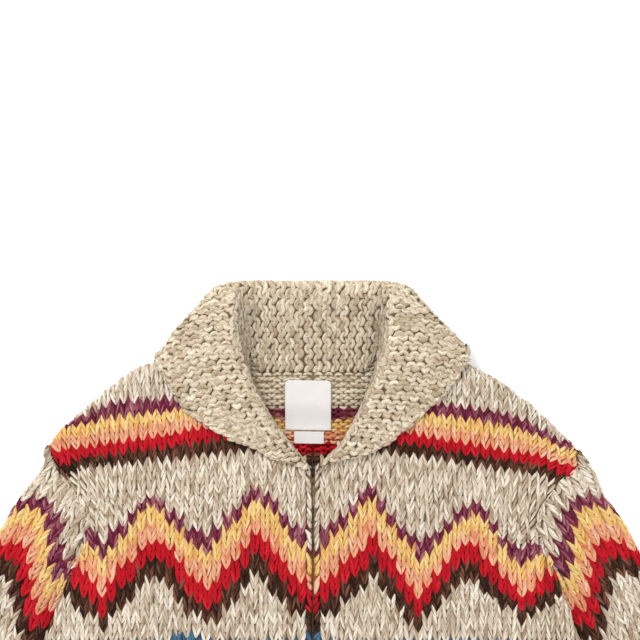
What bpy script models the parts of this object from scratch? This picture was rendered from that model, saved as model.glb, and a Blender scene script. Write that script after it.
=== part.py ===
"""Cowichan cardigan laid flat on its back: thick knitted panels, a folded garter
shawl collar, ribbed hem and cuffs, a metal zip and two labels.

Flat patterns are written in millimetres: d is the distance out from the zip
line, y runs down the garment from the collar fold.  left is -X, right is +X.
World: +X to the right sleeve, +Y to the collar, +Z up, origin in the middle of
the footprint on the table.
"""
import math

import bpy
import numpy as np

for ob in list(bpy.data.objects):
    bpy.data.objects.remove(ob, do_unlink=True)

# ------------------------------------------------------------------ sizes, mm
WALL = 4.6            # thickness of the chunky knit
GAP = 0.3             # between neighbouring pieces
Y_TOP = 280.8         # highest point of the collar fold
Y_HEM = 1033.0        # lower edge of the hem rib
Y_MID = 0.5 * (Y_TOP + Y_HEM)
MID_BACK = 5.25       # height of the side seam over the table
TOP_FRONT = 11.2      # outer face of a front where it lies on the back
CENTRE_CROWN = 5.6    # the zip and its tapes lift the fronts by this
SLEEVE_FLAT = 10.2    # two layers of sleeve pressed flat
SIDE_LIFT = 10.9      # the body lies over the inner edge of each sleeve
NECK_LIFT = 5.4       # the body lies over the collar's back fall
TAPE_T = 1.0          # zip tape
LABEL_T = 1.0         # woven label


def P(side, d, y, z):
    return (side * d * 0.001, (Y_MID - y) * 0.001, z * 0.001)


def S(t):
    t = np.clip(t, 0.0, 1.0)
    return t * t * (3 - 2 * t)


# -------------------------------------------------------------- body sections
# name, outer edge (d, y), y at the zip line, side fold (1) or armhole seam (0)
BODY = [
    ("rib_top", 268.0, 975.0, 975.0, 1),
    ("waist_low", 271.0, 905.0, 903.0, 1),
    ("waist", 272.0, 845.0, 842.0, 1),
    ("belly", 271.5, 790.0, 786.0, 1),
    ("bust", 269.4, 714.0, 710.0, 1),
    ("chest", 265.5, 642.0, 638.0, 1),
    ("chest_up", 260.0, 618.0, 614.0, 1),
    ("side_up", 253.0, 600.0, 596.0, 1),
    ("side_top", 246.8, 583.0, 580.0, 1),
    ("underarm", 241.0, 566.0, 564.0, 0),
    ("arm_low", 230.5, 549.0, 548.0, 0),
    ("arm_deep", 225.0, 529.0, 529.0, 0),
    ("arm_mid", 229.0, 511.0, 510.0, 0),
    ("arm_up", 236.0, 500.0, 492.0, 0),
]
# armhole from there to the shoulder point
ARM_TOP = [
    (243.0, 490.0), (246.0, 486.0), (249.0, 482.0), (252.0, 478.0), (254.7, 472.7),
    (257.3, 467.3), (260.0, 462.0), (262.3, 456.7), (264.7, 451.3), (267.0, 446.0),
]
# shoulder line from the neck point out to the shoulder point
SHOULDER = [
    (71.5, 353.5), (110, 354.5), (140, 358), (158, 361.5), (176, 368), (194, 379),
    (216, 397), (235, 414), (252, 429), (267, 446),
]
# collar, one row for each cross section, from the zip round to the back neck:
# ridge d, y, height; free edge d, y
COLLAR = {
    "left": [
        ("end", 4.0, 470.0, 20.5, 12.0, 475.5),
        ("tip", 12.5, 460.0, 21.5, 25.0, 468.5),
        ("low_1", 20.5, 450.0, 23.0, 41.0, 462.0),
        ("low_2", 29.5, 437.0, 24.5, 58.0, 453.0),
        ("low_3", 38.5, 424.0, 26.0, 77.5, 445.5),
        ("mid_1", 47.5, 407.0, 27.5, 98.5, 434.5),
        ("mid_2", 55.5, 391.0, 28.5, 117.5, 420.5),
        ("mid_3", 62.5, 375.0, 29.0, 133.5, 404.5),
        ("up_1", 67.0, 360.5, 29.0, 145.0, 388.5),
        ("up_2", 70.5, 345.0, 28.5, 151.5, 372.0),
    ],
    "right": [
        ("end", 4.0, 471.5, 20.5, 12.0, 475.0),
        ("tip", 16.0, 459.5, 21.5, 31.0, 467.0),
        ("low_1", 28.5, 446.5, 23.0, 54.0, 458.5),
        ("low_2", 37.0, 433.0, 24.5, 76.0, 447.5),
        ("low_3", 45.0, 418.5, 26.0, 96.0, 433.5),
        ("mid_1", 51.5, 403.5, 27.5, 114.0, 418.0),
        ("mid_2", 57.5, 389.0, 28.5, 130.0, 402.5),
        ("mid_3", 63.0, 373.5, 29.0, 141.5, 387.0),
        ("up_1", 67.5, 358.5, 29.0, 149.5, 373.5),
        ("up_2", 71.5, 343.0, 28.5, 154.0, 363.0),
    ],
}
# cross sections whose fall goes round the side and under the neck: name,
# seam d, y, z; ridge d, y, z; turn d, y; share of the turn; free edge d, y
COLLAR_SIDE = {
    "left": [
        ("turn_1", 65.6, 353.0, 12.8, 72.6, 334.0, 28.0, 159.0, 355.5, 0.34, 0.0, 0.0),
        ("turn_2", 65.4, 351.8, 12.0, 73.4, 327.5, 27.5, 157.5, 351.0, 0.66, 0.0, 0.0),
        ("turn_3", 65.0, 351.3, 11.2, 74.0, 321.0, 26.9, 154.0, 346.5, 1.0, 143.0, 352.5),
        ("side_1", 64.0, 352.5, 10.4, 75.0, 313.0, 25.8, 147.5, 339.5, 1.0, 127.0, 366.5),
        ("side_2", 62.0, 357.0, 9.5, 76.3, 303.5, 23.8, 134.0, 325.5, 1.0, 106.0, 373.0),
        ("side_3", 60.0, 362.0, 8.6, 77.0, 295.0, 20.5, 117.0, 306.5, 1.0, 87.0, 377.0),
        ("corner", 55.0, 367.5, 7.9, 75.0, 290.0, 16.5, 97.0, 288.5, 1.0, 72.0, 380.0),
    ],
    "right": [
        ("turn_1", 65.6, 353.0, 12.8, 73.6, 332.5, 28.0, 160.0, 353.0, 0.34, 0.0, 0.0),
        ("turn_2", 65.4, 351.8, 12.0, 74.4, 326.0, 27.5, 158.5, 348.5, 0.66, 0.0, 0.0),
        ("turn_3", 65.0, 351.3, 11.2, 75.0, 319.5, 26.9, 155.0, 344.0, 1.0, 144.0, 350.5),
        ("side_1", 64.0, 352.5, 10.4, 75.7, 312.0, 25.8, 148.5, 337.0, 1.0, 127.0, 365.5),
        ("side_2", 62.0, 357.0, 9.5, 76.6, 303.0, 23.8, 133.5, 323.0, 1.0, 106.0, 372.0),
        ("side_3", 60.0, 362.0, 8.6, 77.5, 294.5, 20.5, 114.0, 304.0, 1.0, 87.0, 377.0),
        ("corner", 55.0, 367.5, 7.9, 75.0, 290.0, 16.5, 95.0, 287.5, 1.0, 72.0, 380.0),
    ],
}
# back of the neck: seam d, ridge d, free edge d (both sides and the middle)
COLLAR_BACK = [("back_1", 51.0, 66.0, 58.0), ("back_2", 36.0, 46.0, 41.0),
               ("back_3", 18.0, 23.0, 20.0)]
# sleeve below the underarm: name, outer edge (d, y), inner edge (d, y)
SLEEVE = [
    ("under_0", 338.0, 568.0, 244.3, 570.5),
    ("under_1", 347.0, 584.0, 249.8, 585.0),
    ("under_2", 357.0, 606.0, 255.5, 604.0),
    ("tuck_1", 365.0, 630.0, 247.0, 634.0),
    ("tuck_2", 372.0, 655.0, 240.0, 664.0),
    ("tuck_3", 379.0, 687.0, 240.0, 703.0),
    ("mid_1", 389.0, 728.0, 250.0, 748.0),
    ("mid_2", 400.0, 773.0, 267.0, 797.0),
    ("low_1", 414.0, 826.0, 294.0, 853.0),
    ("low_2", 429.0, 880.0, 324.0, 909.0),
    ("cuff_top", 444.0, 933.0, 355.0, 959.0),
]
# outer edge beside the armhole, from the shoulder point down to the underarm
SLEEVE_CAP = [(270.5, 450.5), (271.5, 466.5), (279.0, 483.0), (287.5, 495.5),
              (299.0, 510.5), (310.5, 526.5), (322.0, 543.0), (334.5, 562.0)]
ARM_SEAM = [(267.0, 446.0), (260.0, 462.0), (252.0, 478.0), (243.0, 490.0),
            (229.0, 511.0), (225.0, 529.0), (230.5, 549.0), (241.0, 566.0)]
# soft folds in the fronts and sleeves: side (-1 left, 1 right, 0 both),
# start d, y, end d, y, half width, height (minus for a trough)
CREASES = [
    (0, 224.0, 512.0, 238.0, 560.0, 12.0, -0.9),
    (1, 222.0, 530.0, 252.0, 552.0, 15.0, -0.6),
    (-1, 196.0, 470.0, 224.0, 532.0, 22.0, 1.6),
    (1, 200.0, 476.0, 218.0, 540.0, 20.0, 1.4),
    (0, 252.0, 520.0, 300.0, 640.0, 20.0, 1.8),
    (-1, 120.0, 700.0, 215.0, 760.0, 34.0, 1.5),
    (1, 90.0, 640.0, 190.0, 600.0, 30.0, 1.2),
    (1, 60.0, 820.0, 180.0, 870.0, 30.0, 1.0),
    (-1, 80.0, 900.0, 200.0, 860.0, 26.0, 1.1),
    (0, 300.0, 760.0, 360.0, 740.0, 16.0, 1.6),
    (0, 330.0, 850.0, 400.0, 840.0, 14.0, -1.4),
]


# ---------------------------------------------------------- heights, by place
def polyline(points, t, axis):
    pts = np.asarray(points, float)
    return np.interp(t, pts[:, 1 - axis], pts[:, axis])


SIDE_Y = np.array([r[2] for r in BODY if r[4] or r[0] == "underarm"])[::-1]
SIDE_D = np.array([r[1] for r in BODY if r[4] or r[0] == "underarm"])[::-1]
IN_Y = np.array([566.0] + [r[4] for r in SLEEVE])
IN_D = np.array([241.0] + [r[3] for r in SLEEVE])
FREE_X = np.array([-157.0, -133.0, -108.0, -87.0, -72.0, 0.0, 72.0, 87.0, 108.0, 134.0, 157.0])
FREE_Y = np.array([362.0, 367.0, 373.0, 377.0, 380.0, 383.0, 380.0, 377.0, 372.0, 366.0, 361.0])


def side_edge(y):
    return np.interp(y, SIDE_Y, SIDE_D)


def lift(side, d, y):
    d, y = np.asarray(d, float), np.asarray(y, float)
    inner = np.interp(np.maximum(y, 600.0), IN_Y, IN_D)
    over = SIDE_LIFT * S((y - 562) / 36) * S((880 - y) / 70) * S((d - inner + 72) / 36)
    x = side * d
    free = np.interp(x, FREE_X, FREE_Y)
    neck = NECK_LIFT * S((free + 40 - y) / 26) * S((x + 207) / 24) * S((207 - x) / 24)
    return np.maximum(over, neck)


def creases(side, d, y):
    z = 0.0
    for which, d0, y0, d1, y1, half, height in CREASES:
        if which in (0, side):
            vx, vy = d1 - d0, y1 - y0
            length = math.hypot(vx, vy)
            t = ((d - d0) * vx + (y - y0) * vy) / length ** 2
            off = ((d - d0) * vy - (y - y0) * vx) / length
            z = z + height * np.exp(-(off / half) ** 2) * S((t + 0.35) / 0.5) * S((1.35 - t) / 0.5)
    return z


def front_top(side, d, y):
    """Outer face of a front, before its side and shoulder folds."""
    d, y = np.asarray(d, float), np.asarray(y, float)
    crown = CENTRE_CROWN * np.exp(-(d / 50) ** 2)
    crown = crown + 2.2 * S(d / 80) * S((side_edge(y) - d) / 70)
    return lift(side, d, y) + TOP_FRONT + crown + creases(side, d, y)


def mid(side, d, y):
    """Height of the seam where front and back meet."""
    return lift(side, d, y) + MID_BACK


def sleeve_top(side, d, y, outer, inner):
    """Outer face of the sleeve's upper layer. outer and inner: distance to its edges."""
    clear = np.minimum(inner, np.where(y > 572, d - side_edge(y) - 4, inner))
    crown = 4.6 * S(outer / 42) * S(clear / 38)
    base = SLEEVE_FLAT + 1.0 * S((600 - y) / 34)
    soft = S(clear / 16) * S(outer / 14)
    return base + crown + creases(side, d, y) * soft


# --------------------------------------------------------------- mesh helpers
def material(name, colour, rough, metal=0.0):
    m = bpy.data.materials.new(name)
    m.use_nodes = True
    b = m.node_tree.nodes["Principled BSDF"]
    b.inputs["Base Color"].default_value = (*colour, 1)
    b.inputs["Roughness"].default_value = rough
    b.inputs["Metallic"].default_value = metal
    return m


def shell(name, outer, inner, faces, mat):
    """A closed wall between two sheets of matching points. Points that coincide
    on the outer sheet are one point; open edges get a wall between the sheets."""
    key, index, out_v, in_v = {}, [], [], []
    for o, i in zip(outer, inner):
        k = tuple(int(round(c * 2e5)) for c in o)
        if k not in key:
            key[k] = len(out_v)
            out_v.append(o)
            in_v.append(i)
        index.append(key[k])
    n = len(out_v)
    quads = []
    for f in faces:
        g = []
        for v in (index[a] for a in f):
            if v not in g:
                g.append(v)
        if len(g) > 2:
            quads.append(g)
    edges = {}
    for f in quads:
        for a, b in zip(f, f[1:] + f[:1]):
            edges[(a, b)] = edges.get((a, b), 0) + 1
    tris = [(f[0], f[k], f[k + 1]) for f in quads for k in range(1, len(f) - 1)]
    polys = tris + [(n + a, n + c, n + b) for a, b, c in tris]
    for a, b in edges:
        if (b, a) not in edges:
            polys += [(b, a, n + a), (b, n + a, n + b)]
    mesh = bpy.data.meshes.new(name)
    mesh.from_pydata([tuple(v) for v in out_v + in_v], [], polys)
    mesh.update()
    co = np.array([v.co[:] for v in mesh.vertices])
    mesh.calc_loop_triangles()
    tri = np.array([t.vertices[:] for t in mesh.loop_triangles])
    volume = np.einsum("ij,ij->i", co[tri[:, 0]], np.cross(co[tri[:, 1]], co[tri[:, 2]])).sum()
    if volume < 0:
        mesh.flip_normals()
    mesh.materials.append(mat)
    mesh.shade_smooth()
    mesh.set_sharp_from_angle(angle=math.radians(50))
    ob = bpy.data.objects.new(name, mesh)
    bpy.context.collection.objects.link(ob)
    return ob


def grid_faces(rows, cols, start=0):
    return [(start + r * cols + c, start + r * cols + c + 1, start + (r + 1) * cols + c + 1,
             start + (r + 1) * cols + c) for r in range(rows - 1) for c in range(cols - 1)]


def turned(faces):
    """The same faces seen from the other side, cut along the same diagonals."""
    return [(a, d, c, b) for a, b, c, d in faces]


# ------------------------------------------------------------------ materials
KNIT = material("natural_knit", (0.58, 0.49, 0.37), 0.95)
RIB = material("natural_rib", (0.56, 0.47, 0.35), 0.95)
COLLAR_KNIT = material("collar_knit", (0.60, 0.50, 0.37), 0.95)
TAPE = material("zip_tape", (0.22, 0.15, 0.10), 0.9)
BRASS = material("antique_brass", (0.42, 0.27, 0.12), 0.4, 1.0)
LABEL = material("label_satin", (0.86, 0.84, 0.84), 0.6)

# ------------------------------------------------------- body panels, by rows
FOLD_N = 4                                  # points round a side fold
FOLD_DIR = (0.43, 1.0)                      # (d, y) step down from the shoulder line


def neck_rows(which):
    """Inner boundary of a front: just outside the collar's ridge line."""
    rows = [(r[1] + 0.9, r[2]) for r in COLLAR[which][:9]]
    rows[0] = (1.2, 476.0)
    return rows + [SHOULDER[0]]


BACK_NECK = [(0, 474), (0, 452), (0, 432), (0, 412), (0, 393), (0, 373), (34, 373),
             (53, 373), (66, 367), SHOULDER[0]]


def panel_rows(kind, which):
    """Rows of (inner d, y, outer d, y, side fold, how near the shoulder line)."""
    rows = []
    for name, od, oy, cy, fold in BODY:
        rows.append([0.6 if kind == "front" else 0.0, cy, od, oy, fold, 0.0])
    neck = neck_rows(which) if kind == "front" else BACK_NECK
    for k, ((nd, ny), (od, oy)) in enumerate(zip(neck, ARM_TOP)):
        if k == len(ARM_TOP) - 2:        # its place is taken by the shoulder fold
            continue
        rows.append([nd, ny, od, oy, 0, (k + 1) / len(ARM_TOP)])
    return rows


SH = np.array(SHOULDER, float)
SH_U = (SH[:, 0] - SH[0, 0]) / (SH[-1, 0] - SH[0, 0])
SH_BULGE = SH[:, 1] - (SH[0, 1] + SH_U * (SH[-1, 1] - SH[0, 1]))
U_COLS = [0.0, 0.16, 0.36, 0.62, 0.86]


def panel(kind, which):
    """Points of the outer and inner sheets of a front, or of half a back."""
    side = -1 if which == "left" else 1
    front = kind == "front"
    rows = panel_rows(kind, which)
    angles = [math.pi / 2 * k / (FOLD_N - 1) for k in range(FOLD_N)]
    sheets = []
    for sheet in ("outer", "inner"):
        inset = 0.0 if sheet == "outer" else WALL
        grid = []
        plan = []
        for nd, ny, od, oy, fold, near in rows:
            radius = (TOP_FRONT - MID_BACK if front else MID_BACK) - inset
            width = math.hypot(od - nd, oy - ny)
            line = []
            for u in U_COLS:
                line.append((u * (1 - 9.0 / width), 0.0))
            for a in angles[:-1]:
                s = inset + radius * (1 - math.sin(a)) if fold else 5.9 * (1 - a / (math.pi / 2))
                line.append((1 - s / width, 1 - math.cos(a) if fold else 0))
            s = inset if fold else 0.0
            line.append((1 - s / width, 1.0 if fold else 0.0))
            plan.append([(nd + (od - nd) * t, ny + (oy - ny) * t, q, t, near) for t, q in line])
        for line in plan:
            out = []
            for d, y, q, t, near in line:
                bulge = np.interp(t, SH_U, SH_BULGE) * (near ** 2.2 if near else 0.0)
                out.append([d, y + bulge, q, t])
            grid.append(out)
        sheets.append(grid)
    # the shoulder fold: the last row is the line itself, rows before it stand back from it
    outer_grid, inner_grid = sheets
    result = []
    for grid, inset in ((outer_grid, 0.0), (inner_grid, WALL)):
        radius = (TOP_FRONT - MID_BACK if front else MID_BACK) - inset
        top = grid[-1]
        extra = []
        for a in angles[1:]:
            s = inset + radius * (1 - math.sin(a))
            row = []
            for k, (d, y, q, t) in enumerate(top):
                row.append([d - s * FOLD_DIR[0], y + s * FOLD_DIR[1], max(q, 1 - math.cos(a)), t])
            extra.append((s, row))
        body = [[p[:] for p in row] for row in grid[:-1]]
        s = inset + radius
        first = [[d - s * FOLD_DIR[0], y + s * FOLD_DIR[1], q, t] for d, y, q, t in top]
        result.append(body + [first] + [r for _, r in extra])
    pts = []
    for grid, sheet in zip(result, ("outer", "inner")):
        sheet_pts = []
        for row in grid:
            for d, y, q, t in row:
                m = mid(side, d, y) + (GAP / 2 if front else -GAP / 2)
                if front:
                    face = front_top(side, d, y) - (0 if sheet == "outer" else WALL)
                else:
                    face = lift(side, d, y) + (0 if sheet == "outer" else WALL)
                z = face + (m - face) * q if q < 1 else m
                sheet_pts.append(P(side, d, y, float(z)))
        pts.append(sheet_pts)
    cols = len(result[0][0])
    return pts[0], pts[1], len(result[0]), cols


fronts = {}
for which in ("left", "right"):
    o, i, r, c = panel("front", which)
    fronts[which] = shell("front_" + which, o, i, grid_faces(r, c), KNIT)

ol, il, r, c = panel("back", "left")
orr, irr, r2, c2 = panel("back", "right")
faces = grid_faces(r, c) + turned(grid_faces(r2, c2, len(ol)))
shell("body_back", ol + orr, il + irr, faces, KNIT)

# ------------------------------------------------------------------- hem ribs
RIB_ROWS = [(975.0 + GAP, 267.0, 0), (992, 261, 0), (1012, 258, 0), (Y_HEM, 258, 0)]


def rib(kind, which):
    side = -1 if which == "left" else 1
    front = kind == "front"
    radius = TOP_FRONT - MID_BACK if front else MID_BACK
    angles = [math.pi / 2 * k / (FOLD_N - 1) for k in range(FOLD_N)]
    both = []
    for sheet, inset in (("outer", 0.0), ("inner", WALL)):
        pts = []
        for y, od, _ in RIB_ROWS:
            line = [(0.6 if front else 0.0) + u * (od - 10) for u in (0, 0.1, 0.25, 0.45, 0.65, 0.85, 1.0)]
            line = [(d, 0.0) for d in line]
            line += [(od - inset - (radius - inset) * (1 - math.sin(a)), 1 - math.cos(a)) for a in angles[:-1]]
            line += [(od - inset, 1.0)]
            for d, q in line:
                m = MID_BACK + (GAP / 2 if front else -GAP / 2)
                if front:
                    face = TOP_FRONT + CENTRE_CROWN * math.exp(-(d / 50) ** 2) - (0 if sheet == "outer" else WALL)
                else:
                    face = 0 if sheet == "outer" else WALL
                pts.append(P(side, d, y, face + (m - face) * q if q < 1 else m))
        both.append(pts)
    return both[0], both[1], len(RIB_ROWS), 11


for which in ("left", "right"):
    o, i, r, c = rib("front", which)
    shell("hem_" + which, o, i, grid_faces(r, c), RIB)
ol, il, r, c = rib("back", "left")
orr, irr, r, c = rib("back", "right")
shell("hem_back", ol + orr, il + irr,
      grid_faces(r, c) + turned(grid_faces(r, c, len(ol))), RIB)

# -------------------------------------------------------------------- sleeves
TOP_AT = (0.16, 0.38, 0.62, 0.84)     # across the upper layer, from the inner edge
LOW_AT = (0.3, 0.75)                      # across the lower layer, from the outer edge


def sleeve_section(side, od, oy, nd, ny, tube):
    """Outer and inner points round one section, from the inner edge over the top,
    round the outer fold and back along the table."""
    width = math.hypot(od - nd, oy - ny)

    def at(s, z):                                 # s: distance from the inner edge
        t = s / width
        return P(side, nd + (od - nd) * t, ny + (oy - ny) * t, z)

    def top(s):
        t = s / width
        d, y = nd + (od - nd) * t, ny + (oy - ny) * t
        return float(sleeve_top(side, d, y, width - s, s if tube else s + 30))

    start = SLEEVE_FLAT / 2 if tube else min(5.1, 0.16 * width)
    high = float(front_top(side, nd - 0.6, ny)) if not tube else 0.0
    r = top(max(width - 5.5, 0.5 * width)) / 2    # height of the outer fold's middle
    reach = min(r, 0.62 * width)                  # and how far it rounds in plan
    span = width - reach - start
    both = []
    for inset in (0.0, WALL):
        thin = min(inset, 0.42 * width)           # the wall seen from above, at the fold
        ri, rp = r - inset, reach - min(thin, 0.9 * reach)
        pts = []
        if tube:
            q = SLEEVE_FLAT / 2 - inset
            pts.append(at(inset, SLEEVE_FLAT / 2))
            pts.append(at(inset + q * 0.29, SLEEVE_FLAT / 2 + q * 0.71))
            pts.append(at(inset + q, top(start) - inset))
        else:
            for s in (0.0, 0.4 * start, start):
                pts.append(at(s, high + (top(s) - high) * s / max(start * 3, 1) - inset))
        for t in TOP_AT:
            s = start + span * t
            z = top(s)
            if not tube:
                z = z + (high - top(0.0)) * float(1 - S(s / 16))
            pts.append(at(s, z - inset))
        edge = width - reach
        pts.append(at(edge, 2 * r - inset))
        pts.append(at(edge + rp * 0.71, r + ri * 0.71))
        pts.append(at(edge + rp, r))
        pts.append(at(edge + rp * 0.71, r - ri * 0.71))
        pts.append(at(edge, inset))
        for t in LOW_AT:
            pts.append(at(start + span * (1 - t), inset))
        if tube:
            pts.append(at(inset + q, inset))
            pts.append(at(inset + q * 0.29, SLEEVE_FLAT / 2 - q * 0.71))
            pts.append(at(inset, SLEEVE_FLAT / 2))
        else:
            for s in (start, 0.4 * start, 0.0):
                pts.append(at(s, inset))
        both.append(pts)
    return both


def sleeve(which):
    side = -1 if which == "left" else 1
    outer, inner, rows = [], [], 0
    for (od, oy), (nd, ny) in zip(SLEEVE_CAP, ARM_SEAM):
        o, i = sleeve_section(side, od, oy, nd + 0.62, ny, False)
        outer += o
        inner += i
        rows += 1
    for _, od, oy, nd, ny in SLEEVE:
        o, i = sleeve_section(side, od, oy, nd, ny, True)
        outer += o
        inner += i
        rows += 1
    cols = len(outer) // rows
    return shell("sleeve_" + which, outer, inner, grid_faces(rows, cols), KNIT)


sleeve("left")
sleeve("right")

# ---------------------------------------------------------------------- cuffs
CUFF_ROWS = [("top", 0.004, 3.0), ("neck", 0.20, 5.5), ("half", 0.6, 6.5), ("end", 1.0, 6.0)]
CUFF_LENGTH = (17.0, 60.0)


def cuff(which):
    side = -1 if which == "left" else 1
    _, od, oy, nd, ny = SLEEVE[-1]
    outer, inner = [], []
    for _, t, pinch in CUFF_ROWS:
        shift = (CUFF_LENGTH[0] * t, CUFF_LENGTH[1] * t)
        w = math.hypot(od - nd, oy - ny)
        ux, uy = (od - nd) / w, (oy - ny) / w
        extra = 0.5 if t < 0.1 else 0
        for inset, store in ((0.0, outer), (WALL, inner)):
            r = SLEEVE_FLAT / 2
            a = (nd + shift[0] + ux * pinch, ny + shift[1] + uy * pinch + extra)
            span = w - 2 * pinch
            ring = []
            for k in range(5):                    # inner fold, from the table up
                ang = -math.pi / 2 + math.pi * k / 4
                ring.append((r - (r - inset) * math.cos(ang), r + (r - inset) * math.sin(ang)))
            for k in range(5):
                ang = math.pi / 2 - math.pi * k / 4
                ring.append((span - r + (r - inset) * math.cos(ang), r + (r - inset) * math.sin(ang)))
            ring.append(ring[0])
            store += [P(side, a[0] + ux * s, a[1] + uy * s, z) for s, z in ring]
    return shell("cuff_" + which, outer, inner, grid_faces(len(CUFF_ROWS), 11), RIB)


cuff("left")
cuff("right")

# --------------------------------------------------------------------- collar
FALL_Z = WALL / 2 + 0.1                 # middle of the collar wall on the table
BACK_R = 4.4                            # bend of the fold at the back of the neck
SIDE_R = 8.7                            # bend where the fall goes round the neck's sides
HALF = 2.25                             # half the collar's wall
CLEAR = 0.9                             # under the fall, where it lies on a front
LEAN = 3.3                              # the stand's middle, inward of the ridge


def front_section(side, row):
    """Mid line of a section whose fall lies on a front."""
    name, rd, ry, rz, fd, fy = row
    wd, wy = fd - rd, fy - ry
    w = math.hypot(wd, wy)
    ux, uy = wd / w, wy / w
    end_z = float(front_top(side, fd, fy)) + CLEAR + HALF
    if name == "up_2":
        end_z = end_z + 1.8
    seam_z = max(float(front_top(side, rd, ry)) - WALL + 1.2, 11.0)
    pts = [(rd - ux * LEAN, ry - uy * LEAN, seam_z),
           (rd - ux * LEAN, ry - uy * LEAN, seam_z + (rz - seam_z) * 0.42),
           (rd - ux * (LEAN - 0.5), ry - uy * (LEAN - 0.5), seam_z + (rz - seam_z) * 0.78),
           (rd, ry, rz)]
    if name.startswith("up_"):          # the stand fans out from the neck point
        k = {"up_1": 0.3, "up_2": 0.8}[name]
        seam = {"up_1": (64.6, 360.5, 12.6), "up_2": (65.2, 356.5, 13.2)}[name]
        pts[0] = seam
        for j, (f, g) in ((1, (0.42, 0.30)), (2, (0.80, 0.68))):
            fan = tuple(pts[0][q] + (pts[3][q] - pts[0][q]) * (f if q < 2 else g) for q in range(3))
            pts[j] = tuple(a + (b - a) * k for a, b in zip(pts[j], fan))
    fall = []
    gather = {"mid_3": 0.2, "up_1": 0.55, "up_2": 1.0}.get(name, 0.0)
    for even, near in ((0.11, 0.24), (0.22, 0.54), (0.34, 0.86), (0.48, 0.94), (0.62, 1.0), (0.74, 1.0),
                       (0.84, 1.0), (0.92, 1.0), (0.97, 1.0), (1.0, 1.0)):
        t = even + (near - even) * gather    # steps crowd to the edge before it turns under
        d, y = rd + wd * t, ry + wy * t
        z = rz + (end_z - rz) * (1 - (1 - t) ** 1.6)
        puff = 1.6 * math.sin(math.pi * min(t * 1.1, 1.0)) * min(1.0, w / 60)
        z = z + puff
        if y > np.interp(d, SH[:, 0], SH[:, 1]) - 1:
            z = max(z, float(front_top(side, d, y)) + CLEAR + HALF)
        fall.append((d, y, z))
    return pts + fall, [None] * 14


def side_section(side, row):
    """Mid line of a section whose fall turns under at the side of the neck."""
    name, sd, sy, sz, rd, ry, rz, td, ty, share, fd, fy = row
    r = {"corner": 6.6, "side_3": 7.8}.get(name, SIDE_R)
    pts = [(sd, sy, sz)]
    for f, g in ((0.46, 0.28), (0.82, 0.68)):
        pts.append((sd + (rd - sd) * f, sy + (ry - sy) * f, sz + (rz - sz) * g))
    pts.append((rd, ry, rz))
    w = math.hypot(td - rd, ty - ry)
    ux, uy = (td - rd) / w, (ty - ry) / w
    start = w - r                       # where the bend begins
    top_z = FALL_Z + 2 * r
    for t in (0.28, 0.62):
        s = start * t
        z = rz + (top_z - rz) * (1 - (1 - t) ** 1.5)
        pts.append((rd + ux * s, ry + uy * s, z + 0.8 * math.sin(math.pi * t)))
    cd, cy = td - ux * r, ty - uy * r
    facing = [None] * 6
    for k in range(8):                  # round the bend, then flat to the free edge
        a = math.pi / 2 - math.pi * min(k / 4, share)
        if k < 5:
            pts.append((cd + ux * r * math.cos(a), cy + uy * r * math.cos(a), FALL_Z + r + r * math.sin(a)))
            facing.append((ux * math.cos(a), uy * math.cos(a), math.sin(a)))
        elif share < 1:                 # the edge is still on the bend
            pts.append(pts[-1])
            facing.append(facing[-1])
        else:
            t = (k - 4) / 3
            pts.append((cd + (fd - cd) * t, cy + (fy - cy) * t, FALL_Z))
            facing.append((0.0, 0.0, -1.0))
    return pts, facing


def back_section(side, sd, rd, fd):
    """Mid line of a section at the back of the neck."""
    r = BACK_R
    cy = 283.0 + r                      # centre of the fold
    sy, sz = 372.5 - 0.05, NECK_LIFT + WALL / 2
    ridge = (rd, cy + 6.0, FALL_Z + 2 * r)
    pts = [(sd, sy, sz)]
    for f, g in ((0.40, 0.35), (0.78, 0.85)):
        pts.append((sd + (rd - sd) * f, sy + (ridge[1] - sy) * f, sz + (ridge[2] - sz) * g))
    pts.append(ridge)
    for t in (0.33, 0.66):
        pts.append((rd, cy + 6.0 * (1 - t), FALL_Z + 2 * r))
    for k in range(5):
        a = math.pi / 2 - math.pi * k / 4
        pts.append((rd, cy - r * math.cos(a), FALL_Z + r + r * math.sin(a)))
    for t in (0.34, 0.68, 1.0):
        pts.append((rd + (fd - rd) * t, cy + (float(np.interp(side * fd, FREE_X, FREE_Y)) - cy) * t, FALL_Z))
    return pts, [None] * 14


def collar_mid():
    """Every section's mid line as signed x, y, z, from the left end to the right
    end, and the way the wall faces where a section knows it."""
    mids, faces = [], []
    for side, which in ((-1, "left"), (1, "right")):
        parts = [front_section(side, r) for r in COLLAR[which]]
        parts += [side_section(side, r) for r in COLLAR_SIDE[which]]
        parts += [back_section(side, *r[1:]) for r in COLLAR_BACK]
        if side < 0:
            parts.append(back_section(1, 0.0, 0.0, 0.0))
        else:
            parts = parts[::-1]
        for pts, facing in parts:
            mids.append([(side * d, y, z) for d, y, z in pts])
            faces.append([f and (side * f[0], f[1], f[2]) for f in facing])
    return np.array(mids), faces


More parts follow.
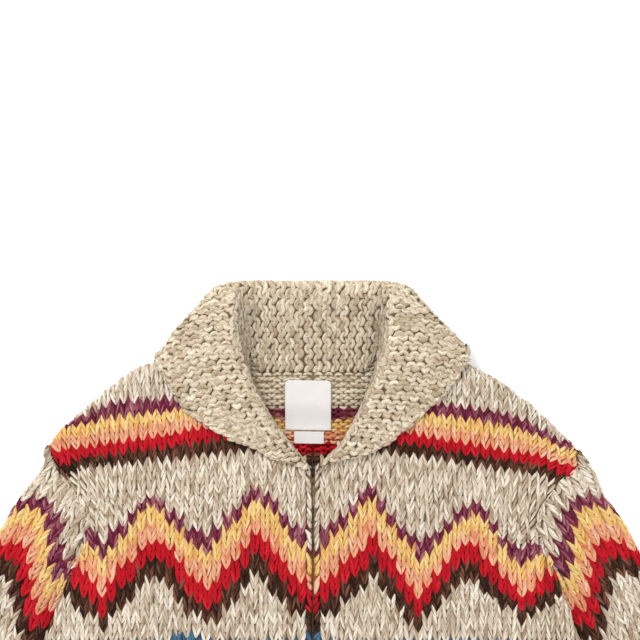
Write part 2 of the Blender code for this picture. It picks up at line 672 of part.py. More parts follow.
line, facing = collar_mid()
down = np.gradient(line, axis=1)
along = np.gradient(line, axis=0)
normal = np.cross(down, along)
normal /= np.maximum(np.linalg.norm(normal, axis=2), 1e-9)[:, :, None]
for k, row in enumerate(facing):
    for j, way in enumerate(row):
        if way:
            normal[k, j] = np.array(way) * (1 if normal[k, 5, 2] > 0 else -1)
        elif j and np.allclose(line[k, j], line[k, j - 1]):
            normal[k, j] = normal[k, j - 1]
half = np.full(line.shape[:2] + (1,), HALF)
count = line.shape[0]
for k, thin in ((7, 0.85), (8, 0.75), (9, 0.6), (10, 0.5), (11, 0.5), (12, 0.5), (13, 0.6), (14, 0.8)):
    for row in (k, count - 1 - k):      # the stand thins into its seam at the neck point
        half[row, 0] *= thin
        half[row, 1] *= 0.5 + 0.5 * thin
half[[0, -1]] *= 0.72                   # and at the zip
for k, thin in ((10, 0.8), (11, 0.7), (12, 0.7), (13, 0.85)):
    for row in (k, count - 1 - k):      # the free edge is tight where it turns under
        half[row, 7:, 0] *= thin
outer = [(p[0] * 0.001, (Y_MID - p[1]) * 0.001, p[2] * 0.001) for p in (line + half * normal).reshape(-1, 3)]
inner = [(p[0] * 0.001, (Y_MID - p[1]) * 0.001, p[2] * 0.001) for p in (line - half * normal).reshape(-1, 3)]
shell("collar", outer, inner, grid_faces(line.shape[0], line.shape[1]), COLLAR_KNIT)

# ------------------------------------------------------------------------ zip
ZIP_TOP, ZIP_END = 478.0, Y_HEM - 1.0
TEETH_W, TEETH_T = 4.4, 2.2


def knit_under(y):
    """Lower face of the fronts along the zip."""
    z = float(front_top(-1, 0.6, min(y, 974.0)))
    z = min(z, float(front_top(1, 0.6, min(y, 974.0))))
    return (z if y < 975 else TOP_FRONT + CENTRE_CROWN) - WALL


def chain_top(y):
    """The teeth sit low behind the slider and come up to the knit below it."""
    return knit_under(y) - 0.45 - 1.95 * (1 - float(S((y - 512) / 24)))


def strip(name, rows, mat):
    """A bar of rectangular section: rows of (x0, x1, y, z0, z1)."""
    outer = [P(1, x, y, z1) for x0, x1, y, z0, z1 in rows for x in (x0, x1)]
    inner = [P(1, x, y, z0) for x0, x1, y, z0, z1 in rows for x in (x0, x1)]
    return shell(name, outer, inner, grid_faces(len(rows), 2), mat)


zip_y = [ZIP_TOP, 500, 512, 518, 524, 530, 536, 560, 640, 740, 860, 960, 974, 990, ZIP_END]
for name, side in (("left", -1), ("right", 1)):
    rows = []
    for y in zip_y:
        ztop = min(float(front_top(side, 3.2, min(y, 974.0))), float(front_top(side, 17.0, min(y, 974.0)))) \
            if y < 975 else TOP_FRONT + CENTRE_CROWN * math.exp(-(17 / 50) ** 2)
        ztop = ztop - WALL - 0.8
        a, b = sorted((side * 3.2, side * 17.0))
        rows.append((a, b, y, ztop - TAPE_T, ztop))
    strip("zip_tape_" + name, rows, TAPE)
strip("zip_chain", [(-TEETH_W / 2, TEETH_W / 2, y, chain_top(y) - TEETH_T, chain_top(y))
                    for y in [490.5] + zip_y[1:]], BRASS)
slider_z = knit_under(482.0)
strip("zip_slider", [(-w, w, y, slider_z - 5.9, slider_z - 1.9)
                     for y, w in ((478.5, 3.0), (481.0, 3.1), (486.0, 2.9), (490.0, 2.3))], BRASS)
strip("zip_pull", [(-w, w, y, slider_z - 1.5, slider_z - 0.4)
                   for y, w in ((480.0, 1.6), (484.0, 1.9), (496.0, 2.3), (505.0, 2.4), (508.0, 1.7))], BRASS)

# --------------------------------------------------------------------- labels


def label(name, x0, x1, y0, y1, n, tilt, clip, raise_by, mat):
    """A woven label lying on the inside of the back; its upper corners are rounded."""
    ys = [y0 + (y1 - y0) * k / n for k in range(n + 1)]
    outer, inner = [], []
    for k, y in enumerate(ys):
        cut = clip if k == 0 else 0.0
        for t in (0.0, 0.25, 0.5, 0.75, 1.0):
            x = x0 + cut + (x1 - x0 - 2 * cut) * t
            yy = y + (x - 0.5 * (x0 + x1)) * tilt
            side = -1 if x < 0 else 1
            z = float(max(lift(side, abs(x), yy - 5), lift(side, abs(x), yy + 1))) + WALL + raise_by
            outer.append(P(1, x, yy, z + LABEL_T))
            inner.append(P(1, x, yy, z))
    return shell(name, outer, inner, grid_faces(n + 1, 5), mat)


label("neck_label", -28.0, 18.0, 380.5, 431.0, 6, 0.012, 2.0, 0.9, LABEL)
label("small_label", -19.0, 11.0, 432.2, 444.5, 2, 0.012, 0.0, 0.4, LABEL)
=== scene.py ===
"""Looks for the cowichan cardigan: every panel is a thin knitted shell carrying its own
stitches as real yarn.  Flat patterns are in millimetres: x (or d, the distance out
from the zip line) and y down the garment, the same as the CAD.
"""
import math

import bpy
import numpy as np
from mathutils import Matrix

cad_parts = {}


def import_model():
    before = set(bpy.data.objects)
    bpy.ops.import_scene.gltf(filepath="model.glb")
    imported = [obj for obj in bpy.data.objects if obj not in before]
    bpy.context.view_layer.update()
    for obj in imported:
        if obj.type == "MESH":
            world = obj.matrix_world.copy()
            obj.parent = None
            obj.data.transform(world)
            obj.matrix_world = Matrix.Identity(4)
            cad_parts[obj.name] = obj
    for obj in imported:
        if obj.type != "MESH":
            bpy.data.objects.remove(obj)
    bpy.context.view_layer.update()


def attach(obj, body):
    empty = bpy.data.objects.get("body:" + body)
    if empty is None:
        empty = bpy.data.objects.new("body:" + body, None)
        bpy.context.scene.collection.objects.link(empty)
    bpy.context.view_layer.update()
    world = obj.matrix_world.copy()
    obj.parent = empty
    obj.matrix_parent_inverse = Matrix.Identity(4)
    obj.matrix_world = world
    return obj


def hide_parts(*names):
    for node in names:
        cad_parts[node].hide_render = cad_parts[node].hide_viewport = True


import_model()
RNG = np.random.default_rng(7)

# ------------------------------------------------------------------ sizes, mm
WALL = 4.6
GAP = 0.3
Y_TOP = 280.8
Y_HEM = 1033.0
Y_MID = 0.5 * (Y_TOP + Y_HEM)
MID_BACK = 5.25
TOP_FRONT = 11.2
CENTRE_CROWN = 5.6
SLEEVE_FLAT = 10.2
SIDE_LIFT = 10.9
NECK_LIFT = 5.4
WALE = 9.4            # width of a knitted column
FIRST = 11.9          # middle of the column beside the zip's rolled edge
ROW = 6.35            # height of a row in the yoke
ROW_LOW = 6.85        # and below it
LOW_AT = 478.0        # where the lower rows are counted from
SLEEVE_WALE = 10.3


def S(t):
    t = np.clip(t, 0.0, 1.0)
    return t * t * (3 - 2 * t)


def world(x, y, z):
    return np.stack([x * 0.001, (Y_MID - y) * 0.001, z * 0.001], -1)


# -------------------------------------------------------------- body sections
BODY = [
    (268.0, 975.0, 975.0, 1), (271.0, 905.0, 903.0, 1), (272.0, 845.0, 842.0, 1), (271.5, 790.0, 786.0, 1),
    (269.4, 714.0, 710.0, 1), (265.5, 642.0, 638.0, 1), (260.0, 618.0, 614.0, 1), (253.0, 600.0, 596.0, 1),
    (246.8, 583.0, 580.0, 1), (241.0, 566.0, 564.0, 0), (230.5, 549.0, 548.0, 0), (225.0, 529.0, 529.0, 0),
    (229.0, 511.0, 510.0, 0), (236.0, 500.0, 492.0, 0),
]
ARM_TOP = [
    (243.0, 490.0), (246.0, 486.0), (249.0, 482.0), (252.0, 478.0), (254.7, 472.7),
    (257.3, 467.3), (260.0, 462.0), (262.3, 456.7), (264.7, 451.3), (267.0, 446.0),
]
SHOULDER = [
    (71.5, 353.5), (110, 354.5), (140, 358), (158, 361.5), (176, 368), (194, 379),
    (216, 397), (235, 414), (252, 429), (267, 446),
]
COLLAR = {
    "left": [
        ("end", 4.0, 470.0, 20.5, 12.0, 466.0), ("tip", 12.0, 459.5, 21.5, 25.0, 461.5),
        ("low_1", 21.0, 449.0, 23.0, 41.0, 457.0), ("low_2", 31.0, 436.5, 24.5, 57.5, 447.5),
        ("low_3", 40.5, 424.0, 26.0, 76.5, 441.0), ("mid_1", 49.5, 407.0, 27.5, 97.0, 429.5),
        ("mid_2", 57.5, 391.0, 28.5, 116.0, 417.0), ("mid_3", 64.5, 375.0, 29.0, 131.0, 403.0),
        ("up_1", 70.6, 360.5, 29.0, 141.0, 387.5), ("up_2", 75.0, 345.0, 28.5, 149.5, 371.0),
    ],
    "right": [
        ("end", 4.0, 471.5, 20.5, 11.5, 464.5), ("tip", 17.0, 459.0, 21.5, 30.0, 459.5),
        ("low_1", 30.0, 446.5, 23.0, 53.0, 453.5), ("low_2", 38.5, 433.0, 24.5, 74.5, 441.5),
        ("low_3", 46.5, 418.5, 26.0, 94.5, 426.5), ("mid_1", 53.0, 403.5, 27.5, 112.0, 409.5),
        ("mid_2", 59.0, 389.0, 28.5, 123.0, 400.5), ("mid_3", 64.5, 373.5, 29.0, 136.0, 385.0),
        ("up_1", 69.0, 358.5, 29.0, 144.5, 372.0), ("up_2", 73.0, 343.0, 28.5, 150.5, 361.5),
    ],
}
COLLAR_SIDE = {
    "left": [
        ("turn_1", 65.6, 353.0, 12.8, 76.6, 334.0, 28.0, 157.0, 358.0, 0.34, 0.0, 0.0),
        ("turn_2", 65.4, 351.8, 12.0, 77.4, 327.5, 27.5, 155.0, 353.0, 0.66, 0.0, 0.0),
        ("turn_3", 65.0, 351.3, 11.2, 78.2, 321.0, 26.9, 151.0, 349.0, 1.0, 143.0, 352.5),
        ("side_1", 64.0, 352.5, 10.4, 78.4, 313.0, 25.8, 144.6, 340.2, 1.0, 127.0, 366.5),
        ("side_2", 62.0, 357.0, 9.5, 78.4, 303.5, 23.8, 134.3, 325.7, 1.0, 106.0, 373.0),
        ("side_3", 60.0, 362.0, 8.6, 78.0, 295.0, 20.5, 117.2, 308.2, 1.0, 87.0, 377.0),
        ("corner", 55.0, 367.5, 7.9, 75.0, 290.0, 16.5, 94.8, 286.5, 1.0, 72.0, 380.0),
    ],
    "right": [
        ("turn_1", 65.6, 353.0, 12.8, 74.6, 332.5, 28.0, 156.0, 352.5, 0.34, 0.0, 0.0),
        ("turn_2", 65.4, 351.8, 12.0, 75.4, 326.0, 27.5, 154.5, 348.5, 0.66, 0.0, 0.0),
        ("turn_3", 65.0, 351.3, 11.2, 76.0, 319.5, 26.9, 151.0, 345.0, 1.0, 144.0, 350.5),
        ("side_1", 64.0, 352.5, 10.4, 76.7, 312.0, 25.8, 145.0, 337.2, 1.0, 127.0, 365.5),
        ("side_2", 62.0, 357.0, 9.5, 77.0, 303.0, 23.8, 131.0, 323.6, 1.0, 106.0, 372.0),
        ("side_3", 60.0, 362.0, 8.6, 77.5, 294.5, 20.5, 112.6, 305.0, 1.0, 87.0, 377.0),
        ("corner", 55.0, 367.5, 7.9, 75.0, 290.0, 16.5, 93.0, 286.2, 1.0, 72.0, 380.0),
    ],
}
COLLAR_BACK = [(51.0, 66.0, 58.0), (36.0, 46.0, 41.0), (18.0, 23.0, 20.0)]
SLEEVE = [
    (338.0, 568.0, 244.3, 570.5), (347.0, 584.0, 249.8, 585.0), (357.0, 606.0, 255.5, 604.0),
    (365.0, 630.0, 247.0, 634.0), (372.0, 655.0, 240.0, 664.0), (379.0, 687.0, 240.0, 703.0),
    (389.0, 728.0, 250.0, 748.0), (400.0, 773.0, 267.0, 797.0), (414.0, 826.0, 294.0, 853.0),
    (429.0, 880.0, 324.0, 909.0), (444.0, 933.0, 355.0, 959.0),
]
SLEEVE_CAP = [(270.5, 450.5), (271.5, 466.5), (279.0, 483.0), (287.5, 495.5),
              (299.0, 510.5), (310.5, 526.5), (322.0, 543.0), (334.5, 562.0)]
ARM_SEAM = [(267.0, 446.0), (260.0, 462.0), (252.0, 478.0), (243.0, 490.0),
            (229.0, 511.0), (225.0, 529.0), (230.5, 549.0), (241.0, 566.0)]
CREASES = [
    (0, 224.0, 512.0, 238.0, 560.0, 12.0, -0.9), (1, 222.0, 530.0, 252.0, 552.0, 15.0, -0.6),
    (-1, 196.0, 470.0, 224.0, 532.0, 22.0, 1.6), (1, 200.0, 476.0, 218.0, 540.0, 20.0, 1.4),
    (0, 252.0, 520.0, 300.0, 640.0, 20.0, 1.8), (-1, 120.0, 700.0, 215.0, 760.0, 34.0, 1.5),
    (1, 90.0, 640.0, 190.0, 600.0, 30.0, 1.2), (1, 60.0, 820.0, 180.0, 870.0, 30.0, 1.0),
    (-1, 80.0, 900.0, 200.0, 860.0, 26.0, 1.1), (0, 300.0, 760.0, 360.0, 740.0, 16.0, 1.6),
    (0, 330.0, 850.0, 400.0, 840.0, 14.0, -1.4),
]
SIDE_Y = np.array([r[1] for r in BODY if r[3] or r[0] == 241.0])[::-1]
SIDE_D = np.array([r[0] for r in BODY if r[3] or r[0] == 241.0])[::-1]
IN_Y = np.array([566.0] + [r[3] for r in SLEEVE])
IN_D = np.array([241.0] + [r[2] for r in SLEEVE])
FREE_X = np.array([-157.0, -133.0, -108.0, -87.0, -72.0, 0.0, 72.0, 87.0, 108.0, 134.0, 157.0])
FREE_Y = np.array([362.0, 367.0, 373.0, 377.0, 380.0, 383.0, 380.0, 377.0, 372.0, 366.0, 361.0])
SH = np.array(SHOULDER, float)
SH_U = (SH[:, 0] - SH[0, 0]) / (SH[-1, 0] - SH[0, 0])
SH_BULGE = SH[:, 1] - (SH[0, 1] + SH_U * (SH[-1, 1] - SH[0, 1]))
ARM = np.array(ARM_SEAM)[:, ::-1]                     # y, d
ARM_Y, ARM_D = ARM[:, 0], ARM[:, 1]
HEAD_D, HEAD_Y = np.array([(267.0, 446.0)] + SLEEVE_CAP).T


def side_edge(y):
    return np.interp(y, SIDE_Y, SIDE_D)


def lift(side, d, y):
    d, y = np.asarray(d, float), np.asarray(y, float)
    inner = np.interp(np.maximum(y, 600.0), IN_Y, IN_D)
    over = SIDE_LIFT * S((y - 562) / 36) * S((880 - y) / 70) * S((d - inner + 72) / 36)
    x = side * d
    free = np.interp(x, FREE_X, FREE_Y)
    neck = NECK_LIFT * S((free + 40 - y) / 26) * S((x + 207) / 24) * S((207 - x) / 24)
    return np.maximum(over, neck)


def creases(side, d, y):
    z = 0.0
    for which, d0, y0, d1, y1, half, height in CREASES:
        if which in (0, side):
            vx, vy = d1 - d0, y1 - y0
            length = math.hypot(vx, vy)
            t = ((d - d0) * vx + (y - y0) * vy) / length ** 2
            off = ((d - d0) * vy - (y - y0) * vx) / length
            z = z + height * np.exp(-(off / half) ** 2) * S((t + 0.35) / 0.5) * S((1.35 - t) / 0.5)
    return z


def front_top(side, d, y):
    d, y = np.asarray(d, float), np.asarray(y, float)
    crown = CENTRE_CROWN * np.exp(-(d / 50) ** 2)
    crown = crown + 2.2 * S(d / 80) * S((side_edge(y) - d) / 70)
    return lift(side, d, y) + TOP_FRONT + crown + creases(side, d, y)


def sleeve_top(side, d, y, outer, inner):
    clear = np.minimum(inner, np.where(y > 572, d - side_edge(y) - 4, inner))
    crown = 4.6 * S(outer / 42) * S(clear / 38)
    base = SLEEVE_FLAT + 1.0 * S((600 - y) / 34)
    soft = S(clear / 16) * S(outer / 14)
    return base + crown + creases(side, d, y) * soft


# -------------------------------------------------------------------- colours
def lin(c):
    c = np.asarray(c, float) / 255.0
    return np.where(c <= 0.04045, c / 12.92, ((c + 0.055) / 1.055) ** 2.4)


NATURAL, PURPLE, YELLOW, SALMON, RED, BROWN, BLUE, COLLAR_YARN = range(8)
MAIN = lin([(221, 202, 179), (126, 34, 64), (246, 206, 126), (240, 172, 130), (204, 12, 34), (62, 35, 20),
            (74, 112, 140), (221, 203, 177)])
LIGHT = lin([(255, 248, 232), (204, 140, 152), (254, 230, 170), (252, 208, 178), (230, 42, 54), (138, 88, 68),
             (120, 156, 180), (250, 240, 218)])
DARK = lin([(168, 144, 118), (78, 18, 42), (232, 160, 84), (222, 124, 84), (160, 6, 20), (36, 18, 10),
            (36, 72, 106), (178, 156, 126)])
# how much a leg, and each strand in it, strays from the main colour
LEG_MIX = np.array([0.45, 0.36, 0.40, 0.42, 0.36, 0.55, 0.40, 0.35])
STRAND_MIX = np.array([0.88, 0.52, 0.50, 0.50, 0.36, 0.60, 0.45, 0.65])


def yarn_colour(kind, lines, rings, rng, shade):
    """Colours for N strands: rings x lines points each.  kind: colour numbers (N,)."""
    n = len(kind)
    leg = rng.normal(0, 0.55, n) * LEG_MIX[kind]
    strand = rng.normal(0, 0.75, (n, 1, lines)) * STRAND_MIX[kind][:, None, None]
    along = rng.normal(0, 0.30, (n, rings, lines)) * STRAND_MIX[kind][:, None, None]
    t = np.clip(leg[:, None, None] + strand + along, -1, 1)[..., None]
    m, li, da = (tab[kind][:, None, None, :] for tab in (MAIN, LIGHT, DARK))
    col = np.where(t > 0, m + (li - m) * t, m + (m - da) * t)
    # painted shade: the colours are multiplied by the shade factors given
    return col * shade[None, :, :, None]


# ------------------------------------------------------------------- materials
def nodes_of(name):
    m = bpy.data.materials.new(name)
    m.use_nodes = True
    nt = m.node_tree
    return m, nt, nt.nodes["Principled BSDF"], nt.links.new


def node(nt, kind, **sockets):
    n = nt.nodes.new(kind)
    for k, v in sockets.items():
        n.inputs[k.replace("_", " ")].default_value = v
    return n


def yarn_material(name, sheen=0.06, rough=0.85, bump=0.5):
    """Spun wool: fibres and plies run along each strand."""
    m, nt, b, link = nodes_of(name)
    att = nt.nodes.new("ShaderNodeAttribute")
    att.attribute_name = "yarn"
    uv = nt.nodes.new("ShaderNodeUVMap")
    uv.uv_map = "leg"
    fibre_at = node(nt, "ShaderNodeMapping")
    fibre_at.inputs["Scale"].default_value = (9.0, 2.2, 1.0)
    fibre = node(nt, "ShaderNodeTexNoise", Scale=1.0, Detail=4.0, Roughness=0.65)
    link(uv.outputs["UV"], fibre_at.inputs["Vector"])
    link(fibre_at.outputs["Vector"], fibre.inputs["Vector"])
    ply_at = node(nt, "ShaderNodeMapping")
    ply_at.inputs["Rotation"].default_value = (0, 0, math.radians(32))
    ply = node(nt, "ShaderNodeTexWave", Scale=1.15, Distortion=1.6, Detail=2.0)
    ply.inputs["Detail Scale"].default_value = 1.5
    link(uv.outputs["UV"], ply_at.inputs["Vector"])
    link(ply_at.outputs["Vector"], ply.inputs["Vector"])
    tone = node(nt, "ShaderNodeMapRange")
    tone.inputs["From Min"].default_value = 0.25
    tone.inputs["From Max"].default_value = 0.75
    tone.inputs["To Min"].default_value = 0.72
    tone.inputs["To Max"].default_value = 1.22
    link(fibre.outputs["Fac"], tone.inputs["Value"])
    # painted shade: the ply waves darken the colour in the grooves between the plies
    groove = node(nt, "ShaderNodeMapRange")
    groove.inputs["To Min"].default_value = 0.84
    groove.inputs["To Max"].default_value = 1.06
    link(ply.outputs["Fac"], groove.inputs["Value"])
    both = nt.nodes.new("ShaderNodeMath")
    both.operation = "MULTIPLY"
    link(tone.outputs["Result"], both.inputs[0])
    link(groove.outputs["Result"], both.inputs[1])
    mul = nt.nodes.new("ShaderNodeVectorMath")
    mul.operation = "SCALE"
    link(att.outputs["Color"], mul.inputs[0])
    link(both.outputs["Value"], mul.inputs["Scale"])
    link(mul.outputs["Vector"], b.inputs["Base Color"])
    add = nt.nodes.new("ShaderNodeMath")
    add.operation = "ADD"
    link(fibre.outputs["Fac"], add.inputs[0])
    link(ply.outputs["Fac"], add.inputs[1])
    bmp = node(nt, "ShaderNodeBump", Strength=bump, Distance=0.0005)
    link(add.outputs["Value"], bmp.inputs["Height"])
    link(bmp.outputs["Normal"], b.inputs["Normal"])
    b.inputs["Roughness"].default_value = rough
    b.inputs["Specular IOR Level"].default_value = 0.12
    b.inputs["Sheen Weight"].default_value = sheen
    b.inputs["Sheen Roughness"].default_value = 0.55
    return m


def felt_material(name):
    """The shaded yarn between the stitches."""
    m, nt, b, link = nodes_of(name)
    att = nt.nodes.new("ShaderNodeAttribute")
    att.attribute_name = "yarn"
    co = nt.nodes.new("ShaderNodeTexCoord")
    grain = node(nt, "ShaderNodeTexNoise", Scale=900.0, Detail=3.0, Roughness=0.6)
    link(co.outputs["Object"], grain.inputs["Vector"])
    tone = node(nt, "ShaderNodeMapRange")
    tone.inputs["To Min"].default_value = 0.6
    tone.inputs["To Max"].default_value = 1.4
    link(grain.outputs["Fac"], tone.inputs["Value"])
    mul = nt.nodes.new("ShaderNodeVectorMath")
    mul.operation = "SCALE"
    link(att.outputs["Color"], mul.inputs[0])
    link(tone.outputs["Result"], mul.inputs["Scale"])
    link(mul.outputs["Vector"], b.inputs["Base Color"])
    bmp = node(nt, "ShaderNodeBump", Strength=0.6, Distance=0.0006)
    link(grain.outputs["Fac"], bmp.inputs["Height"])
    link(bmp.outputs["Normal"], b.inputs["Normal"])
    b.inputs["Roughness"].default_value = 0.95
    b.inputs["Specular IOR Level"].default_value = 0.1
    return m


LINES = 5              # points over each strand
YARN = yarn_material("wool_yarn")
FELT = felt_material("wool_ground")


# ---------------------------------------------------------------- mesh helpers
def make_mesh(name, verts, quads, tris, mat, colour=None, leg_uv=None, bake_uv=None):
    quads = np.asarray(quads, np.int64).reshape(-1, 4)
    tris = np.asarray(tris, np.int64).reshape(-1, 3)
    mesh = bpy.data.meshes.new(name)
    mesh.vertices.add(len(verts))
    mesh.vertices.foreach_set("co", np.asarray(verts, np.float32).ravel())
    loops = np.concatenate([quads.ravel(), tris.ravel()])
    mesh.loops.add(len(loops))
    mesh.loops.foreach_set("vertex_index", loops.astype(np.int32))
    starts = np.concatenate([np.arange(len(quads)) * 4, len(quads) * 4 + np.arange(len(tris)) * 3])
    mesh.polygons.add(len(starts))
    mesh.polygons.foreach_set("loop_start", starts.astype(np.int32))
    mesh.update(calc_edges=True)
    if colour is not None:
        rgba = np.ones((len(verts), 4), np.float32)
        rgba[:, :3] = np.clip(colour, 0, 1)
        mesh.attributes.new("yarn", "FLOAT_COLOR", "POINT").data.foreach_set("color", rgba.ravel())
    for uv_name, uv in (("leg", leg_uv), ("OFBake", bake_uv)):
        if uv is not None:
            mesh.uv_layers.new(name=uv_name).data.foreach_set(
                "uv", np.asarray(uv, np.float32)[loops].ravel())
    mesh.materials.append(mat)
    mesh.shade_smooth()
    ob = bpy.data.objects.new(name, mesh)
    bpy.context.collection.objects.link(ob)
    return ob


def template(rings, lines):
    quads, tris = [], []
    for r in range(rings - 1):
        for j in range(lines - 1):
            a = 1 + r * lines + j
            quads.append((a, a + 1, a + lines + 1, a + lines))
    last = rings * lines + 1
    for j in range(lines - 1):
        tris.append((0, 2 + j, 1 + j))
        b = 1 + (rings - 1) * lines + j
        tris.append((last, b, b + 1))
    return np.array(quads), np.array(tris)


class Strands:
    """Collects short lengths of yarn, each an open half tube closed at both ends."""

    def __init__(self, rings, lines, flip=False):
        self.rings, self.lines, self.flip = rings, lines, flip
        self.verts, self.cols = [], []

    def add(self, verts, cols):
        self.verts.append(verts)
        self.cols.append(cols)

    def build(self, name, mat=None):
        verts = np.concatenate(self.verts)
        cols = np.concatenate(self.cols)
        n, m = verts.shape[:2]
        quads, tris = template(self.rings, self.lines)
        if self.flip:
            quads, tris = quads[:, ::-1], tris[:, ::-1]
        at = (np.arange(n) * m)[:, None, None]
        u = np.concatenate([[0.5], np.tile(np.linspace(0.08, 0.92, self.lines), self.rings), [0.5]])
        v = np.concatenate([[0.0], np.repeat(np.linspace(0.1, 0.9, self.rings), self.lines), [1.0]])
        uv = np.stack([u, v], -1)
        leg = uv[None] + RNG.uniform(0, 40, (n, 1, 2))
        grid = math.ceil(math.sqrt(n))
        cell = np.stack([np.arange(n) % grid, np.arange(n) // grid], -1)[:, None, :]
        bake = (cell + 0.08 + 0.84 * uv[None]) / grid
        return make_mesh(name, verts.reshape(-1, 3), (quads[None] + at).reshape(-1, 4),
                         (tris[None] + at).reshape(-1, 3), mat or YARN, cols.reshape(-1, 3),
                         leg.reshape(-1, 2), bake.reshape(-1, 2))


def tube(path, crown, edge, half, lines):
    """Half tubes in flat space.  path (N, K, 2); crown, edge, half (N, K): height of the top,
    height of the two sides and half the width at each step.  The first and last steps are
    points.  Gives (N, M, 3): flat x, flat y, height."""
    n, k = path.shape[:2]
    tang = np.gradient(path, axis=1)
    tang /= np.maximum(np.linalg.norm(tang, axis=2, keepdims=True), 1e-9)
    norm = np.stack([-tang[..., 1], tang[..., 0]], -1)
    phi = np.linspace(0, math.pi, lines)
    out = []
    mid = slice(1, k - 1)
    across = half[:, mid, None] * np.cos(phi)
    pos = path[:, mid, None, :] + norm[:, mid, None, :] * across[..., None]
    up = edge[:, mid, None] + (crown - edge)[:, mid, None] * np.sin(phi)
    ring = np.concatenate([pos, up[..., None]], -1).reshape(n, -1, 3)
    first = np.concatenate([path[:, 0], crown[:, 0, None]], -1)[:, None]
    last = np.concatenate([path[:, -1], crown[:, -1, None]], -1)[:, None]
    return np.concatenate([first, ring, last], 1)


# painted shade: the end points of each strand, where it tucks under, take the mean colour of the nearest ring darkened
# by dark
def with_ends(cols, n, rings, lines, dark=0.7):
    flat = cols.reshape(n, rings * lines, 3)
    a = flat[:, :lines].mean(1, keepdims=True) * dark
    b = flat[:, -lines:].mean(1, keepdims=True) * (dark + 0.1)
    return np.concatenate([a, flat, b], 1)


# painted shade: a strand's colour is darkened towards its two sides, down to low, and along its length by ring_shade,
# for the shade where it dips under and between its neighbours
def painted_shade_of(rings, lines, low, ring_shade):
    phi = np.linspace(0, math.pi, lines)
    return np.asarray(ring_shade)[:, None] * (low + (1 - low) * np.sin(phi) ** 0.8)[None, :]


# ------------------------------------------------------------- stocking stitch
T6 = np.array([0.0, 0.14, 0.38, 0.64, 0.86, 1.0])
W6 = np.array([0.0, 0.48, 0.80, 1.0, 0.86, 0.0])
CROWN6 = np.array([-0.2, 0.60, 1.05, 1.00, 0.35, -1.0])
EDGE6 = np.array([0.0, -1.1, -1.6, -1.8, -1.9, -1.4])
ACROSS6 = np.array([0.0, 0.065, 0.165, 0.285, 0.395, 0.455])       # in column widths
DOWN6 = np.array([0.92, 0.74, 0.28, -0.32, -0.90, -1.28])          # in row heights
T4 = np.array([0.0, 0.28, 0.74, 1.0])
W4 = np.array([0.0, 0.95, 1.0, 0.0])
CROWN4 = np.array([0.3, 1.0, 0.5, -1.4])
EDGE4 = np.array([0.0, -1.5, -1.8, -1.4])
ACROSS4 = np.array([0.0, 0.14, 0.33, 0.46])
DOWN4 = np.array([0.98, 0.56, -0.45, -1.08])


def knit_legs(p, e_r, e_c, pitch, kind, rng, fine=True, half=2.2, tall=1.0, wale=WALE, jitter=1.0):
    """Both legs of every stitch: they part upwards, each stitch standing in the one below.  p (N, 2): middle of the stitch; e_r, e_c (N, 2): unit ways
    along the row and down the column; pitch (N,): height of the row; jitter: unevenness."""
    t, w, cr, ed, ac, dn = (T6, W6, CROWN6, EDGE6, ACROSS6, DOWN6) if fine else (T4, W4, CROWN4, EDGE4, ACROSS4, DOWN4)
    rings, lines = len(t) - 2, (LINES if fine else 3)
    n = len(p)
    jitter = (jitter * np.ones(n))[:, None]
    both = rng.normal(0, 1.15, (n, 2)) * jitter
    out_v, out_c = [], []
    for s in (-1, 1):
        jit = rng.normal(0, 1, (n, 7)) * jitter
        a = s * ac[None] * wale + 0.28 * jit[:, :1] + 0.75 * jit[:, 1:2] * (t[None] - 0.4) + 0.25 * both[:, :1]
        c = dn[None] * pitch[:, None] + 0.55 * jit[:, 2:3] * t[None] + 0.35 * both[:, 1:2]
        path = p[:, None] + e_r[:, None] * a[..., None] + e_c[:, None] * c[..., None]
        fat = (1 + 0.09 * jit[:, 4])[:, None]
        up = 0.15 * jit[:, 5][:, None]
        tubes = tube(path, cr[None] * tall + up, ed[None] * np.ones((n, 1)) + up * 0.5, half * w[None] * fat, lines)
        # painted shade: each leg darker towards its sides and at the end that passes under the next stitch
        ring_shade = np.interp(t[1:-1], [0, 0.3, 0.7, 1], [0.97, 1.02, 0.95, 0.68])
        cols = yarn_colour(kind, lines, rings, rng, painted_shade_of(rings, lines, 0.72, ring_shade))
        out_v.append(tubes)
        out_c.append(with_ends(cols, n, rings, lines, 0.85))
    return np.concatenate(out_v), np.concatenate(out_c)


# ----------------------------------------------------------- charts of colours
def banded(r):
    """Colour number for a row counted from the top of the purple in its column."""
    table = [PURPLE] * 2 + [YELLOW] * 3 + [SALMON] * 3 + [RED] * 3 + [BROWN] * 3
    r = np.asarray(r, int)
    return np.where((r >= 0) & (r < 14), np.array(table)[np.clip(r, 0, 13)], NATURAL)


def yoke(k):
    table = [PURPLE] * 2 + [YELLOW] * 2 + [SALMON] * 2 + [RED] * 2 + [BROWN] * 2
    k = np.asarray(k, int)
    return np.where((k >= 0) & (k < 10), np.array(table)[np.clip(k, 0, 9)], NATURAL)


# rows by which each column's bands lie lower than at a peak, from the zip outwards:
# first for the purple and yellow, then for the red and brown
OFF_TOP = {-1: [7, 6, 4, 2, 1, 0, 1, 3, 4, 6, 8, 7, 6, 4, 3, 1, 0, 1, 3, 5, 7, 9, 7, 6, 5, 3, 1, 0, 1],
           1: [7, 5, 4, 2, 0, -1, 1, 3, 5, 6, 8, 7, 5, 3, 1, 0, -1, 0, 2, 5, 7, 8, 7, 6, 5, 3, 1, 0, 1]}
OFF_LOW = {-1: [7, 6, 4, 3, 1, 0, 2, 4, 5, 7, 8, 7, 6, 4, 2, 1, 1, 2, 4, 5, 7, 9, 7, 6, 5, 3, 1, 0, 1],
           1: [7, 6, 4, 3, 2, 0, 2, 3, 5, 7, 9, 7, 5, 3, 1, 0, 0, 2, 3, 5, 6, 8, 7, 5, 4, 2, 1, 0, 1]}


def lower_bands(kind, j, first):
    kind = np.where((j >= first) & (j < first + 3), BLUE, kind)
    return np.where(j == first + 3, BROWN, kind)


